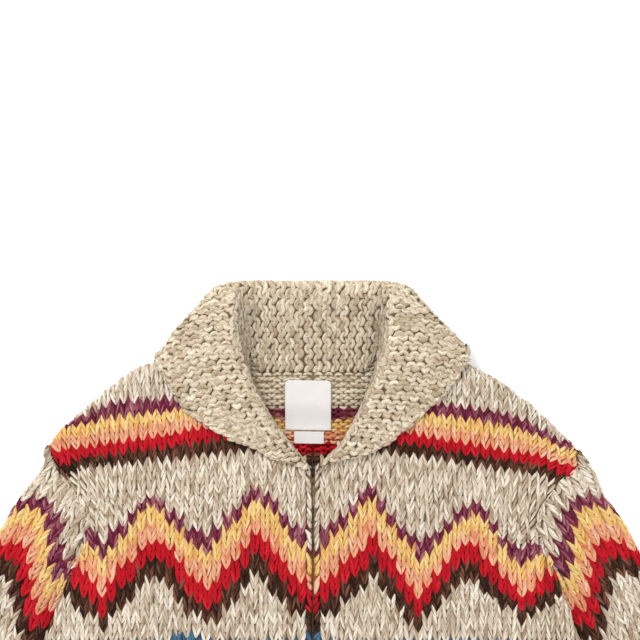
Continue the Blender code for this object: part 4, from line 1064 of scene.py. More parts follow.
def back():
    outer_st, inner_st = [], []
    bases = [[], [], [], []]
    quads, start = [], 0
    for side in (-1, 1):
        rng = np.random.default_rng(41 + side)
        d, y, p, s, k = body_cells(side, 0.5 * WALE)
        arm = np.interp(y, ARM_Y, ARM_D)
        keep = (y < 972.5) & np.where(y > 566, d < side_edge(y) + 2.4, d < arm - 1.0)
        keep &= ~((d > 66) & (shoulder_gap(d, y) < -1.6)) & ~((d <= 71.5) & (y < 374))
        q = [a[keep] for a in (d, y, p, s, k)]
        e_r, e_c = unit(np.ones(len(q[0])), q[3]), unit(-0.25 * q[3], np.ones(len(q[0])))
        v, cols = knit_legs(np.stack([q[0], q[1]], -1), e_r, e_c, q[2], q[4], rng, fine=False)
        place = place_body(side, np.maximum(v[..., 0], 0.05), v[..., 1], v[..., 2] - 1.15, front=False)
        outer_st.append((place, cols, side))
        # the purl side, where the neck shows it
        c, r = np.meshgrid(np.arange(0, 9), np.arange(0, 22), indexing="ij")
        pd, py = ((c + 0.5) * 10.3).ravel(), (374.5 + 5.9 * r).ravel()
        kinds = inside_chart(py)
        for half_step, smile, dy, tall, wide in ((0.5, 1.0, 2.4, 0.5, 8.6), (0.0, -1.0, 0.0, 1.0, 9.0)):
            cen = np.stack([pd + half_step * 10.3, py + dy + 0.02 * pd], -1)
            ok = np.ones(len(cen), bool) if half_step == 0 else (pd > 0)
            tv, tc = arcs(cen[ok], np.tile([1.0, 0.04], (ok.sum(), 1)), np.tile([0.0, 1.0], (ok.sum(), 1)), wide, 2.4,
                          1.9, tall, kinds[ok], rng, smile, steps=8, lines=4)
            x, yy, h = side * tv[..., 0], tv[..., 1], tv[..., 2]
            z = lift(side, np.abs(tv[..., 0]), yy) + WALL + h - 0.3
            inner_st.append((world(x, yy, z), tc, side))
        # the corner between the stand's foot and the front
        cen = np.array([(55.5, 370.5), (61.0, 369.5), (66.0, 368.0), (58.5, 365.6), (64.0, 364.6), (62.5, 359.6),
                        (66.0, 358.8), (64.6, 354.4)])
        for smile, dy, tall in ((1.0, 2.2, 0.5), (-1.0, 0.0, 1.0)):
            tv, tc = arcs(cen + [0, dy], np.tile([0.93, -0.36], (8, 1)), np.tile([0.36, 0.93], (8, 1)), 8.2, 2.2, 1.9,
                          tall, np.full(8, COLLAR_YARN), rng, smile, steps=8, lines=4)
            z = lift(side, tv[..., 0], tv[..., 1]) + WALL + tv[..., 2] - 0.3
            # painted shade: these corner bumps are darkened for the deep shade under the stand
            inner_st.append((world(side * tv[..., 0], tv[..., 1], z), tc * 0.72, side))
        gd, gy = body_grid("left", False)
        gd, gy = gd.ravel(), gy.ravel()
        kind = body_colour(side, gd, gy)
        bases[0].append(place_body(side, gd, gy, -1.9, front=False))
        bases[1].append(place_body(side, gd, gy, -2.9, front=False))
        bases[2].append(ground(kind))
        bases[3].append(ground(inside_chart(gy)))
        g = grid_quads(*body_grid("left", False)[0].shape, start)
        quads.append(g if side < 0 else g[:, [0, 3, 2, 1]])
        start += len(gd)
    out_l = Strands(2, 3, flip=False)
    out_r = Strands(2, 3, flip=True)
    for v, c, side in outer_st:
        (out_r if side < 0 else out_l).add(v, c)
    a, b = out_l.build("body_back_right_stitches"), out_r.build("body_back_left_stitches")
    pur_l, pur_r = Strands(6, 4, flip=False), Strands(6, 4, flip=True)
    for v, c, side in inner_st:
        (pur_l if side < 0 else pur_r).add(v, c)
    e, f = pur_l.build("body_back_purl_left"), pur_r.build("body_back_purl_right")
    base = shell("body_back_knit", np.concatenate(bases[0]), np.concatenate(bases[1]), np.concatenate(quads), FELT,
                 np.concatenate(bases[2]), np.concatenate(bases[3]))
    declare(base, ["body_back"], [a, b, e, f])


def inside_chart(y):
    """Colour bands of the back's inside, where the neck shows them."""
    edges = [405.0, 418.0, 430.0, 440.5, 452.5, 463.0]
    table = [COLLAR_YARN, PURPLE, YELLOW, SALMON, RED, BROWN, NATURAL]
    return np.array(table)[np.searchsorted(edges, np.asarray(y, float))]


back()

# ---------------------------------------------------------------------- collar
FALL_Z = WALL / 2 + 0.1
BACK_R = 4.4
SIDE_R = 8.7
HALF = 2.25
CLEAR = 0.9
LEAN = {-1: -0.5, 1: 1.0}


def front_section(side, row):
    name, rd, ry, rz, fd, fy = row
    wd, wy = fd - rd, fy - ry
    w = math.hypot(wd, wy)
    ux, uy = wd / w, wy / w
    end_z = float(front_top(side, fd, fy)) + CLEAR + HALF
    if name == "up_2":
        end_z = end_z + 1.8
    seam_z = max(float(front_top(side, rd, ry)) - WALL + 1.2, 11.0)
    lean = LEAN[side]
    pts = [(rd - ux * lean, ry - uy * lean, seam_z),
           (rd - ux * lean, ry - uy * lean, seam_z + (rz - seam_z) * 0.42),
           (rd - ux * (lean - 0.5), ry - uy * (lean - 0.5), seam_z + (rz - seam_z) * 0.78),
           (rd, ry, rz)]
    if name.startswith("up_"):
        k = {"up_1": 0.3, "up_2": 0.8}[name]
        seam = {"up_1": (64.6, 360.5, 12.6), "up_2": (65.2, 356.5, 13.2)}[name]
        pts[0] = seam
        for j, (f, g) in ((1, (0.42, 0.30)), (2, (0.80, 0.68))):
            fan = tuple(pts[0][q] + (pts[3][q] - pts[0][q]) * (f if q < 2 else g) for q in range(3))
            pts[j] = tuple(a + (b - a) * k for a, b in zip(pts[j], fan))
    fall = []
    gather = {"mid_3": 0.2, "up_1": 0.55, "up_2": 1.0}.get(name, 0.0)
    for even, near in ((0.11, 0.24), (0.22, 0.54), (0.34, 0.86), (0.48, 0.94), (0.62, 1.0), (0.74, 1.0),
                       (0.84, 1.0), (0.92, 1.0), (0.97, 1.0), (1.0, 1.0)):
        t = even + (near - even) * gather
        d, y = rd + wd * t, ry + wy * t
        z = rz + (end_z - rz) * (1 - (1 - t) ** 1.6)
        z = z + 1.6 * math.sin(math.pi * min(t * 1.1, 1.0)) * min(1.0, w / 60)
        if y > np.interp(d, SH[:, 0], SH[:, 1]) - 1:
            z = max(z, float(front_top(side, d, y)) + CLEAR + HALF)
        fall.append((d, y, z))
    return pts + fall, [None] * 14


def side_section(side, row):
    name, sd, sy, sz, rd, ry, rz, td, ty, share, fd, fy = row
    r = {"corner": 6.6, "side_3": 7.8}.get(name, SIDE_R)
    pts = [(sd, sy, sz)]
    for f, g in ((0.46, 0.28), (0.82, 0.68)):
        pts.append((sd + (rd - sd) * f, sy + (ry - sy) * f, sz + (rz - sz) * g))
    pts.append((rd, ry, rz))
    w = math.hypot(td - rd, ty - ry)
    ux, uy = (td - rd) / w, (ty - ry) / w
    start = w - r
    top_z = FALL_Z + 2 * r
    for t in (0.28, 0.62):
        s = start * t
        z = rz + (top_z - rz) * (1 - (1 - t) ** 1.5)
        pts.append((rd + ux * s, ry + uy * s, z + 0.8 * math.sin(math.pi * t)))
    cd, cy = td - ux * r, ty - uy * r
    facing = [None] * 6
    for k in range(8):
        a = math.pi / 2 - math.pi * min(k / 4, share)
        if k < 5:
            pts.append((cd + ux * r * math.cos(a), cy + uy * r * math.cos(a), FALL_Z + r + r * math.sin(a)))
            facing.append((ux * math.cos(a), uy * math.cos(a), math.sin(a)))
        elif share < 1:
            pts.append(pts[-1])
            facing.append(facing[-1])
        else:
            t = (k - 4) / 3
            pts.append((cd + (fd - cd) * t, cy + (fy - cy) * t, FALL_Z))
            facing.append((0.0, 0.0, -1.0))
    return pts, facing


def back_section(side, sd, rd, fd):
    r = BACK_R
    cy = 283.0 + r
    sy, sz = 372.5 - 0.05, NECK_LIFT + WALL / 2
    ridge = (rd, cy + 6.0, FALL_Z + 2 * r)
    pts = [(sd, sy, sz)]
    for f, g in ((0.40, 0.35), (0.78, 0.85)):
        pts.append((sd + (rd - sd) * f, sy + (ridge[1] - sy) * f, sz + (ridge[2] - sz) * g))
    pts.append(ridge)
    for t in (0.33, 0.66):
        pts.append((rd, cy + 6.0 * (1 - t), FALL_Z + 2 * r))
    for k in range(5):
        a = math.pi / 2 - math.pi * k / 4
        pts.append((rd, cy - r * math.cos(a), FALL_Z + r + r * math.sin(a)))
    for t in (0.34, 0.68, 1.0):
        pts.append((rd + (fd - rd) * t, cy + (float(np.interp(side * fd, FREE_X, FREE_Y)) - cy) * t, FALL_Z))
    return pts, [None] * 14


def collar_arrays():
    mids, faces = [], []
    for side, which in ((-1, "left"), (1, "right")):
        parts = [front_section(side, r) for r in COLLAR[which]]
        parts += [side_section(side, r) for r in COLLAR_SIDE[which]]
        parts += [back_section(side, *r) for r in COLLAR_BACK]
        if side < 0:
            parts.append(back_section(1, 0.0, 0.0, 0.0))
        else:
            parts = parts[::-1]
        for pts, facing in parts:
            mids.append([(side * d, y, z) for d, y, z in pts])
            faces.append([f and (side * f[0], f[1], f[2]) for f in facing])
    line = np.array(mids)
    normal = np.cross(np.gradient(line, axis=1), np.gradient(line, axis=0))
    normal /= np.maximum(np.linalg.norm(normal, axis=2), 1e-9)[:, :, None]
    for k, row in enumerate(faces):
        for j, way in enumerate(row):
            if way:
                normal[k, j] = np.array(way) * (1 if normal[k, 5, 2] > 0 else -1)
            elif j and np.allclose(line[k, j], line[k, j - 1]):
                normal[k, j] = normal[k, j - 1]
    half = np.full(line.shape[:2] + (1,), HALF)
    count = line.shape[0]
    for k, thin in ((7, 0.85), (8, 0.75), (9, 0.6), (10, 0.5), (11, 0.5), (12, 0.5), (13, 0.6), (14, 0.8)):
        for row in (k, count - 1 - k):
            half[row, 0] *= thin
            half[row, 1] *= 0.5 + 0.5 * thin
    half[[0, -1]] *= 0.72
    for k, thin in ((10, 0.8), (11, 0.7), (12, 0.7), (13, 0.85)):
        for row in (k, count - 1 - k):
            half[row, 7:, 0] *= thin
    # every wall faces the side that shows
    normal *= np.where(normal[:, 5:6, 2:3] > 0, 1.0, -1.0)
    return line, normal, half


C_LINE, C_NORM, C_HALF = collar_arrays()
C_ALL = np.concatenate([C_LINE, C_NORM, C_HALF], -1)
C_STEP = 5            # steps between one row of the table and the next


def refined(table):
    """The same rows with finer steps along them and rounder corners."""
    at = np.arange((table.shape[1] - 1) * C_STEP + 1) / C_STEP
    i = np.minimum(at.astype(int), table.shape[1] - 2)
    f = (at - i)[None, :, None]
    fine = table[:, i] * (1 - f) + table[:, i + 1] * f
    for _ in range(3):
        fine[:, 1:-1] = 0.25 * fine[:, :-2] + 0.5 * fine[:, 1:-1] + 0.25 * fine[:, 2:]
    return fine


C_FINE = refined(C_ALL)


def cubic(f):
    return np.stack([-0.5 * f + f ** 2 - 0.5 * f ** 3, 1 - 2.5 * f ** 2 + 1.5 * f ** 3,
                     0.5 * f + 2 * f ** 2 - 1.5 * f ** 3, -0.5 * f ** 2 + 0.5 * f ** 3], -1)


def collar_at(u, w):
    """Middle of the wall, the way it faces and half its thickness."""
    u, w = np.broadcast_arrays(np.asarray(u, float), np.asarray(w, float))
    nu, nw = C_FINE.shape[:2]
    u, w = np.clip(u, 0, nu - 1), np.clip(w * C_STEP, 0, nw - 1)
    iu, iw = np.minimum(u.astype(int), nu - 2), np.minimum(w.astype(int), nw - 2)
    wu, ww = cubic(u - iu), cubic(w - iw)
    out = 0.0
    for a in range(4):
        for b in range(4):
            q = C_FINE[np.clip(iu + a - 1, 0, nu - 1), np.clip(iw + b - 1, 0, nw - 1)]
            out = out + q * (wu[..., a] * ww[..., b])[..., None]
    n = out[..., 3:6]
    n = n / np.maximum(np.linalg.norm(n, axis=-1, keepdims=True), 1e-9)
    return out[..., :3], n, out[..., 6]


def collar_place(u, w, h):
    """h: height over the face that shows."""
    p, n, half = collar_at(u, w)
    q = p + n * (half + h)[..., None]
    q[..., 2] = np.maximum(q[..., 2], 0.15)
    return world(q[..., 0], q[..., 1], q[..., 2])


C_LAST = C_ALL.shape[0] - 1


def collar_frame(u, w):
    """Place on the collar and how it moves with u and with w."""
    e = 0.04
    u0, u1 = np.clip(u - e, 0, C_LAST), np.clip(u + e, 0, C_LAST)
    w0, w1 = np.clip(w - e, 0, 13), np.clip(w + e, 0, 13)
    p = collar_at(u, w)[0]
    pu = (collar_at(u1, w)[0] - collar_at(u0, w)[0]) / (u1 - u0)[..., None]
    pw = (collar_at(u, w1)[0] - collar_at(u, w0)[0]) / (w1 - w0)[..., None]
    return p, pu, pw


def collar_step(pu, pw, v):
    """Change of (u, w) that moves by v along the surface."""
    a, b, c = (pu * pu).sum(-1), (pu * pw).sum(-1), (pw * pw).sum(-1)
    x, y = (pu * v).sum(-1), (pw * v).sum(-1)
    det = np.maximum(a * c - b * b, 0.02 * a * c + 0.5)
    return (c * x - b * y) / det, (a * y - b * x) / det


def collar_trace(u, w, way, limit, w_lo, w_hi):
    """Lines over the collar, a point every millimetre, running the way given in plan."""
    u, w = np.array(u, float), np.array(w, float)
    alive = np.ones(len(u), bool)
    held = np.zeros(len(u), bool)
    sign, last = None, None
    us, ws, ok = [u], [w], [alive]
    for _ in range(limit):
        p, pu, pw = collar_frame(u, w)
        g = way(p)
        det = pu[:, 0] * pw[:, 1] - pu[:, 1] * pw[:, 0]
        size = np.linalg.norm(pu, axis=1) * np.linalg.norm(pw, axis=1)
        if sign is None:
            sign = np.sign(det)
        held |= det * sign < 0.10 * size
        safe = np.where(np.abs(det) < 1e-6, 1e-6, det)
        du = (g[:, 0] * pw[:, 1] - g[:, 1] * pw[:, 0]) / safe
        dw = (pu[:, 0] * g[:, 1] - pu[:, 1] * g[:, 0]) / safe
        if last is not None:
            du, dw = np.where(held, last[0], du), np.where(held, last[1], dw)
        length = np.linalg.norm(pu * du[:, None] + pw * dw[:, None], axis=1)
        du, dw = du / np.maximum(length, 1e-6), dw / np.maximum(length, 1e-6)
        du, dw = np.clip(du, -0.4, 0.4), np.clip(dw, -0.4, 0.4)
        last = (du, dw)
        u, w = u + du, w + dw
        alive = alive & (u > 0.02) & (u < C_LAST - 0.02) & (w > w_lo) & (w < w_hi)
        alive &= (w < 7.5) | (np.linalg.norm(pw, axis=1) > 0.9)
        u, w = np.clip(u, 0, C_LAST), np.clip(w, 0, 13)
        us.append(u)
        ws.append(w)
        ok.append(alive)
    return np.array(us).T, np.array(ws).T, np.array(ok).T


def spread_seeds(w, u_lo, u_hi, way, pitch):
    """Starting places along one line of the collar, evenly spread across the way given."""
    us = np.linspace(u_lo, u_hi, 900)
    p, pu, pw = collar_frame(us, np.full(900, float(w)))
    g = way(p)
    tau = np.gradient(p, axis=0)
    across = np.abs(tau[:, 0] * g[:, 1] - tau[:, 1] * g[:, 0])
    total = np.concatenate([[0], np.cumsum(0.5 * (across[1:] + across[:-1]))])
    count = max(int(round(total[-1] / pitch)), 1)
    return np.interp((np.arange(count) + 0.5) * total[-1] / count, total, us)


def collar_spot(u, w):
    """Place and facing together: spots on two layers that lie close stay apart."""
    p, n, _ = collar_at(u, w)
    return np.concatenate([p, 2.5 * n], -1)


def collar_cells(us, ws, ok, pitch, bump, start=0.0, taken=None):
    """Bump places along the lines: u, w, way along, way across, room to the next lines."""
    pos = collar_spot(us, ws)
    count, steps = us.shape
    # where lines crowd together every other one stops
    if taken is not None and len(taken):
        for i in range(count):
            ok[i] &= np.min(np.linalg.norm(pos[i][:, None] - taken[None], axis=2), axis=1) > 0.62 * pitch
    for i in range(1, count, 2):
        away = []
        for k in (i - 1, i + 1):
            if k < count and ok[k].any():
                away.append(np.min(np.linalg.norm(pos[i][:, None] - pos[k][ok[k]][None], axis=2), axis=1))
        if len(away) == 2:
            ok[i] &= away[0] + away[1] > 1.22 * pitch
        elif away:
            ok[i] &= away[0] > 0.6 * pitch
    out = []
    for i in range(count):
        live = np.nonzero(ok[i])[0]
        if len(live) < 3:
            continue
        near = np.concatenate([pos[k][ok[k]] for k in range(count) if k != i and abs(k - i) <= 2 and ok[k].any()]
                              or [np.zeros((0, 6))])
        near = near[np.abs(near[:, 3:] - pos[i, live[len(live) // 2], 3:]).max(1) < 6.0][:, :3]
        s = start + 0.5 * bump
        while s < 0:
            s += bump
        while s < steps - 1:
            j = int(s)
            if ok[i, j]:
                a, b = max(j - 2, 0), min(j + 2, steps - 1)
                t = (pos[i, b] - pos[i, a])[:3]
                n = collar_at(us[i, j], ws[i, j])[1]
                t = t / max(np.linalg.norm(t), 1e-9)
                side = np.cross(n, t)
                side = side / max(np.linalg.norm(side), 1e-9)
                room = [pitch, pitch]
                if len(near):
                    rel = near - pos[i, j, :3]
                    off, along = rel @ side, np.abs(rel @ t)
                    for q, way in ((0, 1), (1, -1)):
                        pick = (off * way > 0.3 * pitch) & (along < 0.6 * bump) & (np.abs(off) < 2 * pitch)
                        if pick.any():
                            room[q] = float(np.min(np.linalg.norm(rel[pick], axis=1)))
                out.append((us[i, j], ws[i, j], *t, *side, room[0], room[1]))
            s += bump
    return np.array(out)


def collar_lay(cells, bump, shapes, rng, st, turn, pitch, steps=9, lines=5):
    """Bumps of yarn at each place.  turn: plan way in which the plump bumps sag."""
    u, w, t, side = cells[:, 0], cells[:, 1], cells[:, 2:5], cells[:, 5:8]
    room_a, room_b = cells[:, 8], cells[:, 9]
    flip = np.where((side[:, :2] * np.asarray(turn)).sum(1) < 0, -1.0, 1.0)
    side = side * flip[:, None]
    plus, minus = np.where(flip > 0, room_a, room_b), np.where(flip > 0, room_b, room_a)
    plus, minus = np.clip(plus, 0.62 * pitch, 1.5 * pitch), np.clip(minus, 0.62 * pitch, 1.5 * pitch)
    wide = 0.5 * (plus + minus) / pitch
    n = len(u)
    tt = np.linspace(-1, 1, steps)
    both = rng.normal(0, 1, (n, 2))
    for smile, shift, deep, top, half, centre, tuck, long in shapes:
        jit = rng.normal(0, 1, (n, 6))
        a = bump * (0.5 * long * tt[None] * (1 + 0.06 * jit[:, :1]) + shift) + 0.35 * jit[:, 1:2] + 0.4 * both[:, :1]
        b = (smile * deep * (0.5 - tt ** 2)[None] + centre) * wide[:, None] + 0.3 * jit[:, 2:3] \
            + 0.45 * tt[None] * jit[:, 5:6] + 0.25 * (plus - minus)[:, None] + 0.3 * both[:, 1:]
        crown = top - tuck * np.abs(tt) ** 2.8 + 0.2 * jit[:, 3:4]
        edge = np.minimum(-1.3 + 0 * crown, crown)
        fat = half * np.sqrt(np.clip(1 - 0.72 * tt ** 2, 0, 1))[None] * (1 + 0.07 * jit[:, 4:5]) * wide[:, None] ** 0.8
        fat[:, 0] = fat[:, -1] = 0
        tb = tube(np.stack([a, b], -1), crown, edge, fat, lines)
        move = t[:, None] * tb[..., 0:1] + side[:, None] * tb[..., 1:2]
        uu, ww = np.repeat(u[:, None], tb.shape[1], 1), np.repeat(w[:, None], tb.shape[1], 1)
        for _ in range(6):
            _, pu, pw = collar_frame(uu, ww)
            du, dw = collar_step(pu, pw, move / 6)
            du, dw = np.clip(du, -0.4, 0.4), np.clip(dw, -0.6, 0.6)
            uu, ww = np.clip(uu + du, 0, C_LAST), np.clip(ww + dw, 0, 13)
        rings = steps - 2
        # painted shade: each bump darker towards its sides and ends
        cols = yarn_colour(np.full(n, COLLAR_YARN), lines, rings, rng,
                           painted_shade_of(rings, lines, 0.74, 0.82 + 0.18 * np.sqrt(1 - tt[1:-1] ** 2)))
        cols = with_ends(cols, n, rings, lines, 0.65)
        # painted shade: the foot of the stand is darkened as if in the collar's own shade, and the whole inside of the
        # stand a little darker for its shade
        deep = S((2.9 - w) / 0.5) * S((np.abs(np.abs(collar_at(u, w)[0][:, 0])) - 46) / 16)
        inside = S((3.1 - w) / 0.5) * S((12.9 - w) / 0.5)
        cols = cols * (1 - 0.24 * deep)[:, None, None] * (1 - 0.09 * inside)[:, None, None]
        place = collar_place(uu, ww, tb[..., 2])
        # which way the half tube opens on this part of the surface
        nrm = collar_at(u, w)[1]
        hand = np.sign((np.cross(t, side) * nrm).sum(1))
        whole = np.linalg.norm(place.max(1) - place.min(1), axis=1) < 1.75 * 0.001 * bump
        put = collar_at(u[whole], w[whole])
        spot = put[0] + t[whole] * (shift * bump)
        LAID.append(np.concatenate([spot, 2.5 * put[1]], -1))
        for way in (-1, 1):
            pick = (hand == way) & whole
            if pick.any():
                st[way].add(place[pick], cols[pick])


ROLL_Y = {-1: [280, 311, 349, 382, 419, 449, 470], 1: [280, 296, 326, 357, 387.5, 415.6, 443.7, 470]}
ROLL_D = {-1: [78, 77, 71, 58, 39, 17, 2], 1: [78, 75, 72, 63.5, 53, 40.6, 25, 2]}


def fall_way(p):
    """Ridges leave the roll line level and droop outwards."""
    x, y = p[:, 0], p[:, 1]
    d = np.abs(x)
    roll = np.where(x < 0, np.interp(y, ROLL_Y[-1], ROLL_D[-1]), np.interp(y, ROLL_Y[1], ROLL_D[1]))
    left = np.interp(d - roll, [0, 8, 20, 45, 62, 80], [-3, 0, 4, 13, 23, 33])
    right = np.interp(d - roll, [0, 8, 20, 45, 70, 95], [-4, -1, 1, 7, 17, 28])
    ang = np.where(x < 0, left, right) + 30 * S((322 - y) / 34) + 8 * S((y - 405) / 50)
    ang = np.radians(ang)
    return np.stack([np.sign(x) * np.cos(ang), np.sin(ang)], -1)


def stand_way(p):
    """Ridges of the stand run down its inside."""
    return unit(-0.14 * np.sign(p[:, 0]) * S((np.abs(p[:, 0]) - 25) / 35), np.ones(len(p)))


def back_way(p):
    return np.tile([0.0, -1.0], (len(p), 1))


LAID = []             # where bumps already lie, for closing what is left bare
# each row is a thick wave: way it bends, shift, depth, height, half width, middle, tuck, length
FALL_BUMPS = [(-1.0, 0.5, 5.2, 1.25, 2.45, -0.75, 2.7, 1.16), (1.0, 0.0, 4.6, 1.35, 2.75, 0.75, 2.7, 1.06)]
STAND_BUMPS = [(-1.0, 0.5, 5.0, 1.25, 2.4, -0.5, 2.7, 1.12), (1.0, 0.0, 4.8, 1.35, 2.55, 0.6, 2.7, 1.06)]
FILL_AT = 5.6


def collar():
    rng = np.random.default_rng(77)
    st = {-1: Strands(7, 5, flip=False), 1: Strands(7, 5, flip=True)}
    def along_u(lo, hi, level_w):
        us = np.linspace(lo, hi, 300)
        q = collar_at(us, np.full(300, level_w))[0]
        ln = np.concatenate([[0], np.cumsum(np.linalg.norm(np.diff(q, axis=0), axis=1))])
        us = np.interp(np.arange(0.0, ln[-1], 1.0), ln, us)
        return us[None], np.full((1, len(us)), level_w), np.ones((1, len(us)), bool)

    # ridges that follow the roll line on its inside
    taken = []
    for lo, hi in ((3.0, 16.6), (C_LAST - 16.6, C_LAST - 3.0)):
        tr = along_u(lo, hi, 2.8)
        collar_lay(collar_cells(*tr, 9.25, 10.6), 10.6, STAND_BUMPS, rng, st, (1.0, 0.0), 9.25)
        taken.append(collar_spot(tr[0][0], tr[1][0]))
    # the stand and the part behind it: one set of ridges over the rim
    seeds = spread_seeds(3.3, 16.2, C_LAST - 16.2, back_way, 9.25)
    down = collar_trace(seeds, np.full(len(seeds), 3.3), stand_way, 100, 0.12, 3.6)
    over = collar_trace(seeds, np.full(len(seeds), 3.3), back_way, 110, 3.0, 12.7)
    tr = [np.concatenate([o[:, :0:-1], q], 1) for o, q in zip(over, down)]
    collar_lay(collar_cells(*tr, 9.25, 11.0, taken=np.concatenate(taken)), 11.0, STAND_BUMPS, rng, st, (1.0, 0.0), 9.25)
    taken.append(collar_spot(tr[0], tr[1])[tr[2]])
    # what is left of the steep inside
    for lo, hi in ((0.3, 15.0), (C_LAST - 15.0, C_LAST - 0.3)):
        for level_w in (1.9, 1.1, 0.35):
            tr = along_u(lo, hi, level_w)
            got = collar_cells(*tr, 9.25, 10.6, taken=np.concatenate(taken))
            if len(got):
                collar_lay(got, 10.6, STAND_BUMPS, rng, st, (1.0, 0.0), 9.25)
                taken.append(collar_spot(tr[0], tr[1])[tr[2]])
    # the fall on each side, from the roll line outwards
    for u_lo, u_hi in ((0.15, 18.2), (C_LAST - 18.2, C_LAST - 0.15)):
        seeds = spread_seeds(3.5, u_lo, u_hi, fall_way, 9.5)
        tr = collar_trace(seeds, np.full(len(seeds), 3.12), fall_way, 150, 3.0, 12.75)
        collar_lay(collar_cells(*tr, 9.5, 9.9, start=-1.0), 9.9, FALL_BUMPS, rng, st, (0.0, 1.0), 9.5)
    # close what is left bare with single bumps
    fu, fw = np.meshgrid(np.linspace(0.1, C_LAST - 0.1, 340), np.linspace(0.12, 12.85, 150), indexing="ij")
    fu, fw = fu.ravel(), fw.ravel()
    spots, have = collar_spot(fu, fw), np.concatenate(LAID)
    far = np.concatenate([np.sqrt(((q[:, None] - have[None]) ** 2).sum(2)).min(1) for q in np.array_split(spots, 60)])
    limit = np.where((fw < 3.1) | (spots[:, 1] < 316), FILL_AT - 0.5, FILL_AT)
    more = []
    while len(more) < 1200:
        left = np.nonzero(far > limit)[0]
        if not len(left):
            break
        j = left[np.argmin(far[left])]
        p, pu, pw = collar_frame(fu[j:j + 1], fw[j:j + 1])
        n = collar_at(fu[j:j + 1], fw[j:j + 1])[1][0]
        way = (fall_way if fw[j] > 3.1 and abs(p[0, 0]) > 76 else stand_way)(p)[0]
        t = np.array([way[0], way[1], 0.0])
        t -= n * (t @ n)
        if np.linalg.norm(t) < 0.25:
            t = pw[0]
        t = t / np.linalg.norm(t)
        more.append((fu[j], fw[j], *t, *np.cross(n, t), 9.5, 9.5))
        for k in (0.0, 0.5):
            new = np.concatenate([p[0] + t * k * 9.0, 2.5 * n])
            far = np.minimum(far, np.sqrt(((spots - new) ** 2).sum(1)))
    if more:
        collar_lay(np.array(more), 9.0, FALL_BUMPS, rng, st, (0.0, 1.0), 9.5)
    # the free edge: plump loops along it
    us = np.linspace(0.05, C_LAST - 0.05, 2400)
    q, nrm, half = collar_at(us, np.full(2400, 13.0))
    inner = collar_at(us, np.full(2400, 12.6))[0]
    ln = np.concatenate([[0], np.cumsum(np.linalg.norm(np.diff(q, axis=0), axis=1))])
    at = np.arange(4.0, ln[-1] - 4, 7.6)
    at = at + rng.normal(0, 0.7, len(at))
    n, tt = len(at), np.linspace(-1, 1, 9)
    jit = rng.normal(0, 1, (n, 6))
    along = at[:, None] + 5.0 * tt[None] * (1 + 0.1 * jit[:, :1])
    out = -2.6 + 3.6 * (1 - tt ** 2)[None] + 1.6 * tt[None] * (1 + 0.3 * jit[:, 5:]) + 0.8 * jit[:, 1:2]
    crown = 0.9 - 2.4 * np.abs(tt) ** 2.6 + 0.25 * jit[:, 3:4]
    fat = 2.7 * np.sqrt(np.clip(1 - 0.7 * tt ** 2, 0, 1))[None] * (1 + 0.1 * jit[:, 4:5])
    fat[:, 0] = fat[:, -1] = 0
    tb = tube(np.stack([along, out], -1), crown, np.minimum(crown, -3.2), fat, 5)
    side = q - inner
    side -= (side * nrm).sum(1)[:, None] * nrm
    side /= np.maximum(np.linalg.norm(side, axis=1), 1e-9)[:, None]
    s_at = np.clip(tb[..., 0], 0, ln[-1])
    pick = [np.stack([np.interp(s_at, ln, a[:, c]) for c in range(3)], -1) for a in (q, side, nrm)]
    hh = np.interp(s_at, ln, half)
    place = pick[0] + pick[1] * tb[..., 1:2] + pick[2] * (hh + tb[..., 2])[..., None]
    place[..., 2] = np.maximum(place[..., 2], 0.15)
    # painted shade: each edge loop darker towards its sides and ends
    cols = yarn_colour(np.full(n, COLLAR_YARN), 5, 7, rng, painted_shade_of(7, 5, 0.74, 0.82 + 0.18 * np.sqrt(1 - tt[1:-1] ** 2)))
    st[1].add(world(place[..., 0], place[..., 1], place[..., 2]), with_ends(cols, n, 7, 5, 0.65))
    a, b = st[-1].build("collar_stitches_left"), st[1].build("collar_stitches_right")
    nu, nw = 201, 66
    uu, ww = np.meshgrid(np.linspace(0, C_LAST, nu), np.linspace(0, 13, nw), indexing="ij")
    p, n, half = collar_at(uu.ravel(), ww.ravel())
    top, low = p + n * (half - 1.7)[:, None], p - n * (half * 0.8)[:, None]
    for q in (top, low):
        q[:, 2] = np.maximum(q[:, 2], 0.3)
    # painted shade: the collar's shell is darker still, for the deep shade in the holes between the garter bumps
    base = shell("collar_knit", world(*top.T), world(*low.T), grid_quads(nu, nw), FELT,
                 ground(np.full(nu * nw, COLLAR_YARN)) * 0.62)
    declare(base, ["collar"], [a, b])


collar()

# ------------------------------------------------------------------- hem ribs
HEM_ROWS = [975.3, 992.0, 1012.0, 1033.0]
HEM_OUT = [267.0, 261.0, 258.0, 258.0]


def place_hem(side, d, y, h, front=True):
    R = (TOP_FRONT - MID_BACK if front else MID_BACK) - GAP / 2
    d, y, h = (np.asarray(q, float) for q in (d, y, h))
    s = np.interp(y, HEM_ROWS, HEM_OUT) - d
    a = np.clip((R - s) / R, 0, 1.75)
    nd = d + np.where(s < R, s - R + (R + h) * np.sin(a), 0.0)
    fd = d - np.where(s < R, R - s, 0)
    drop = (R + h) * (1 - np.cos(a))
    if front:
        roll = 3.4 * (1 - np.sqrt(np.clip(1 - ((4.6 - d) / 4.6) ** 2, 0, 1))) * (d < 4.6)
        z = TOP_FRONT + CENTRE_CROWN * np.exp(-(fd / 50) ** 2) + h - drop - roll
    else:
        z = np.maximum(-h + drop, 0.12)
    return world(side * nd, np.minimum(y, 1036.0), z)


RIB_WALE = 8.0


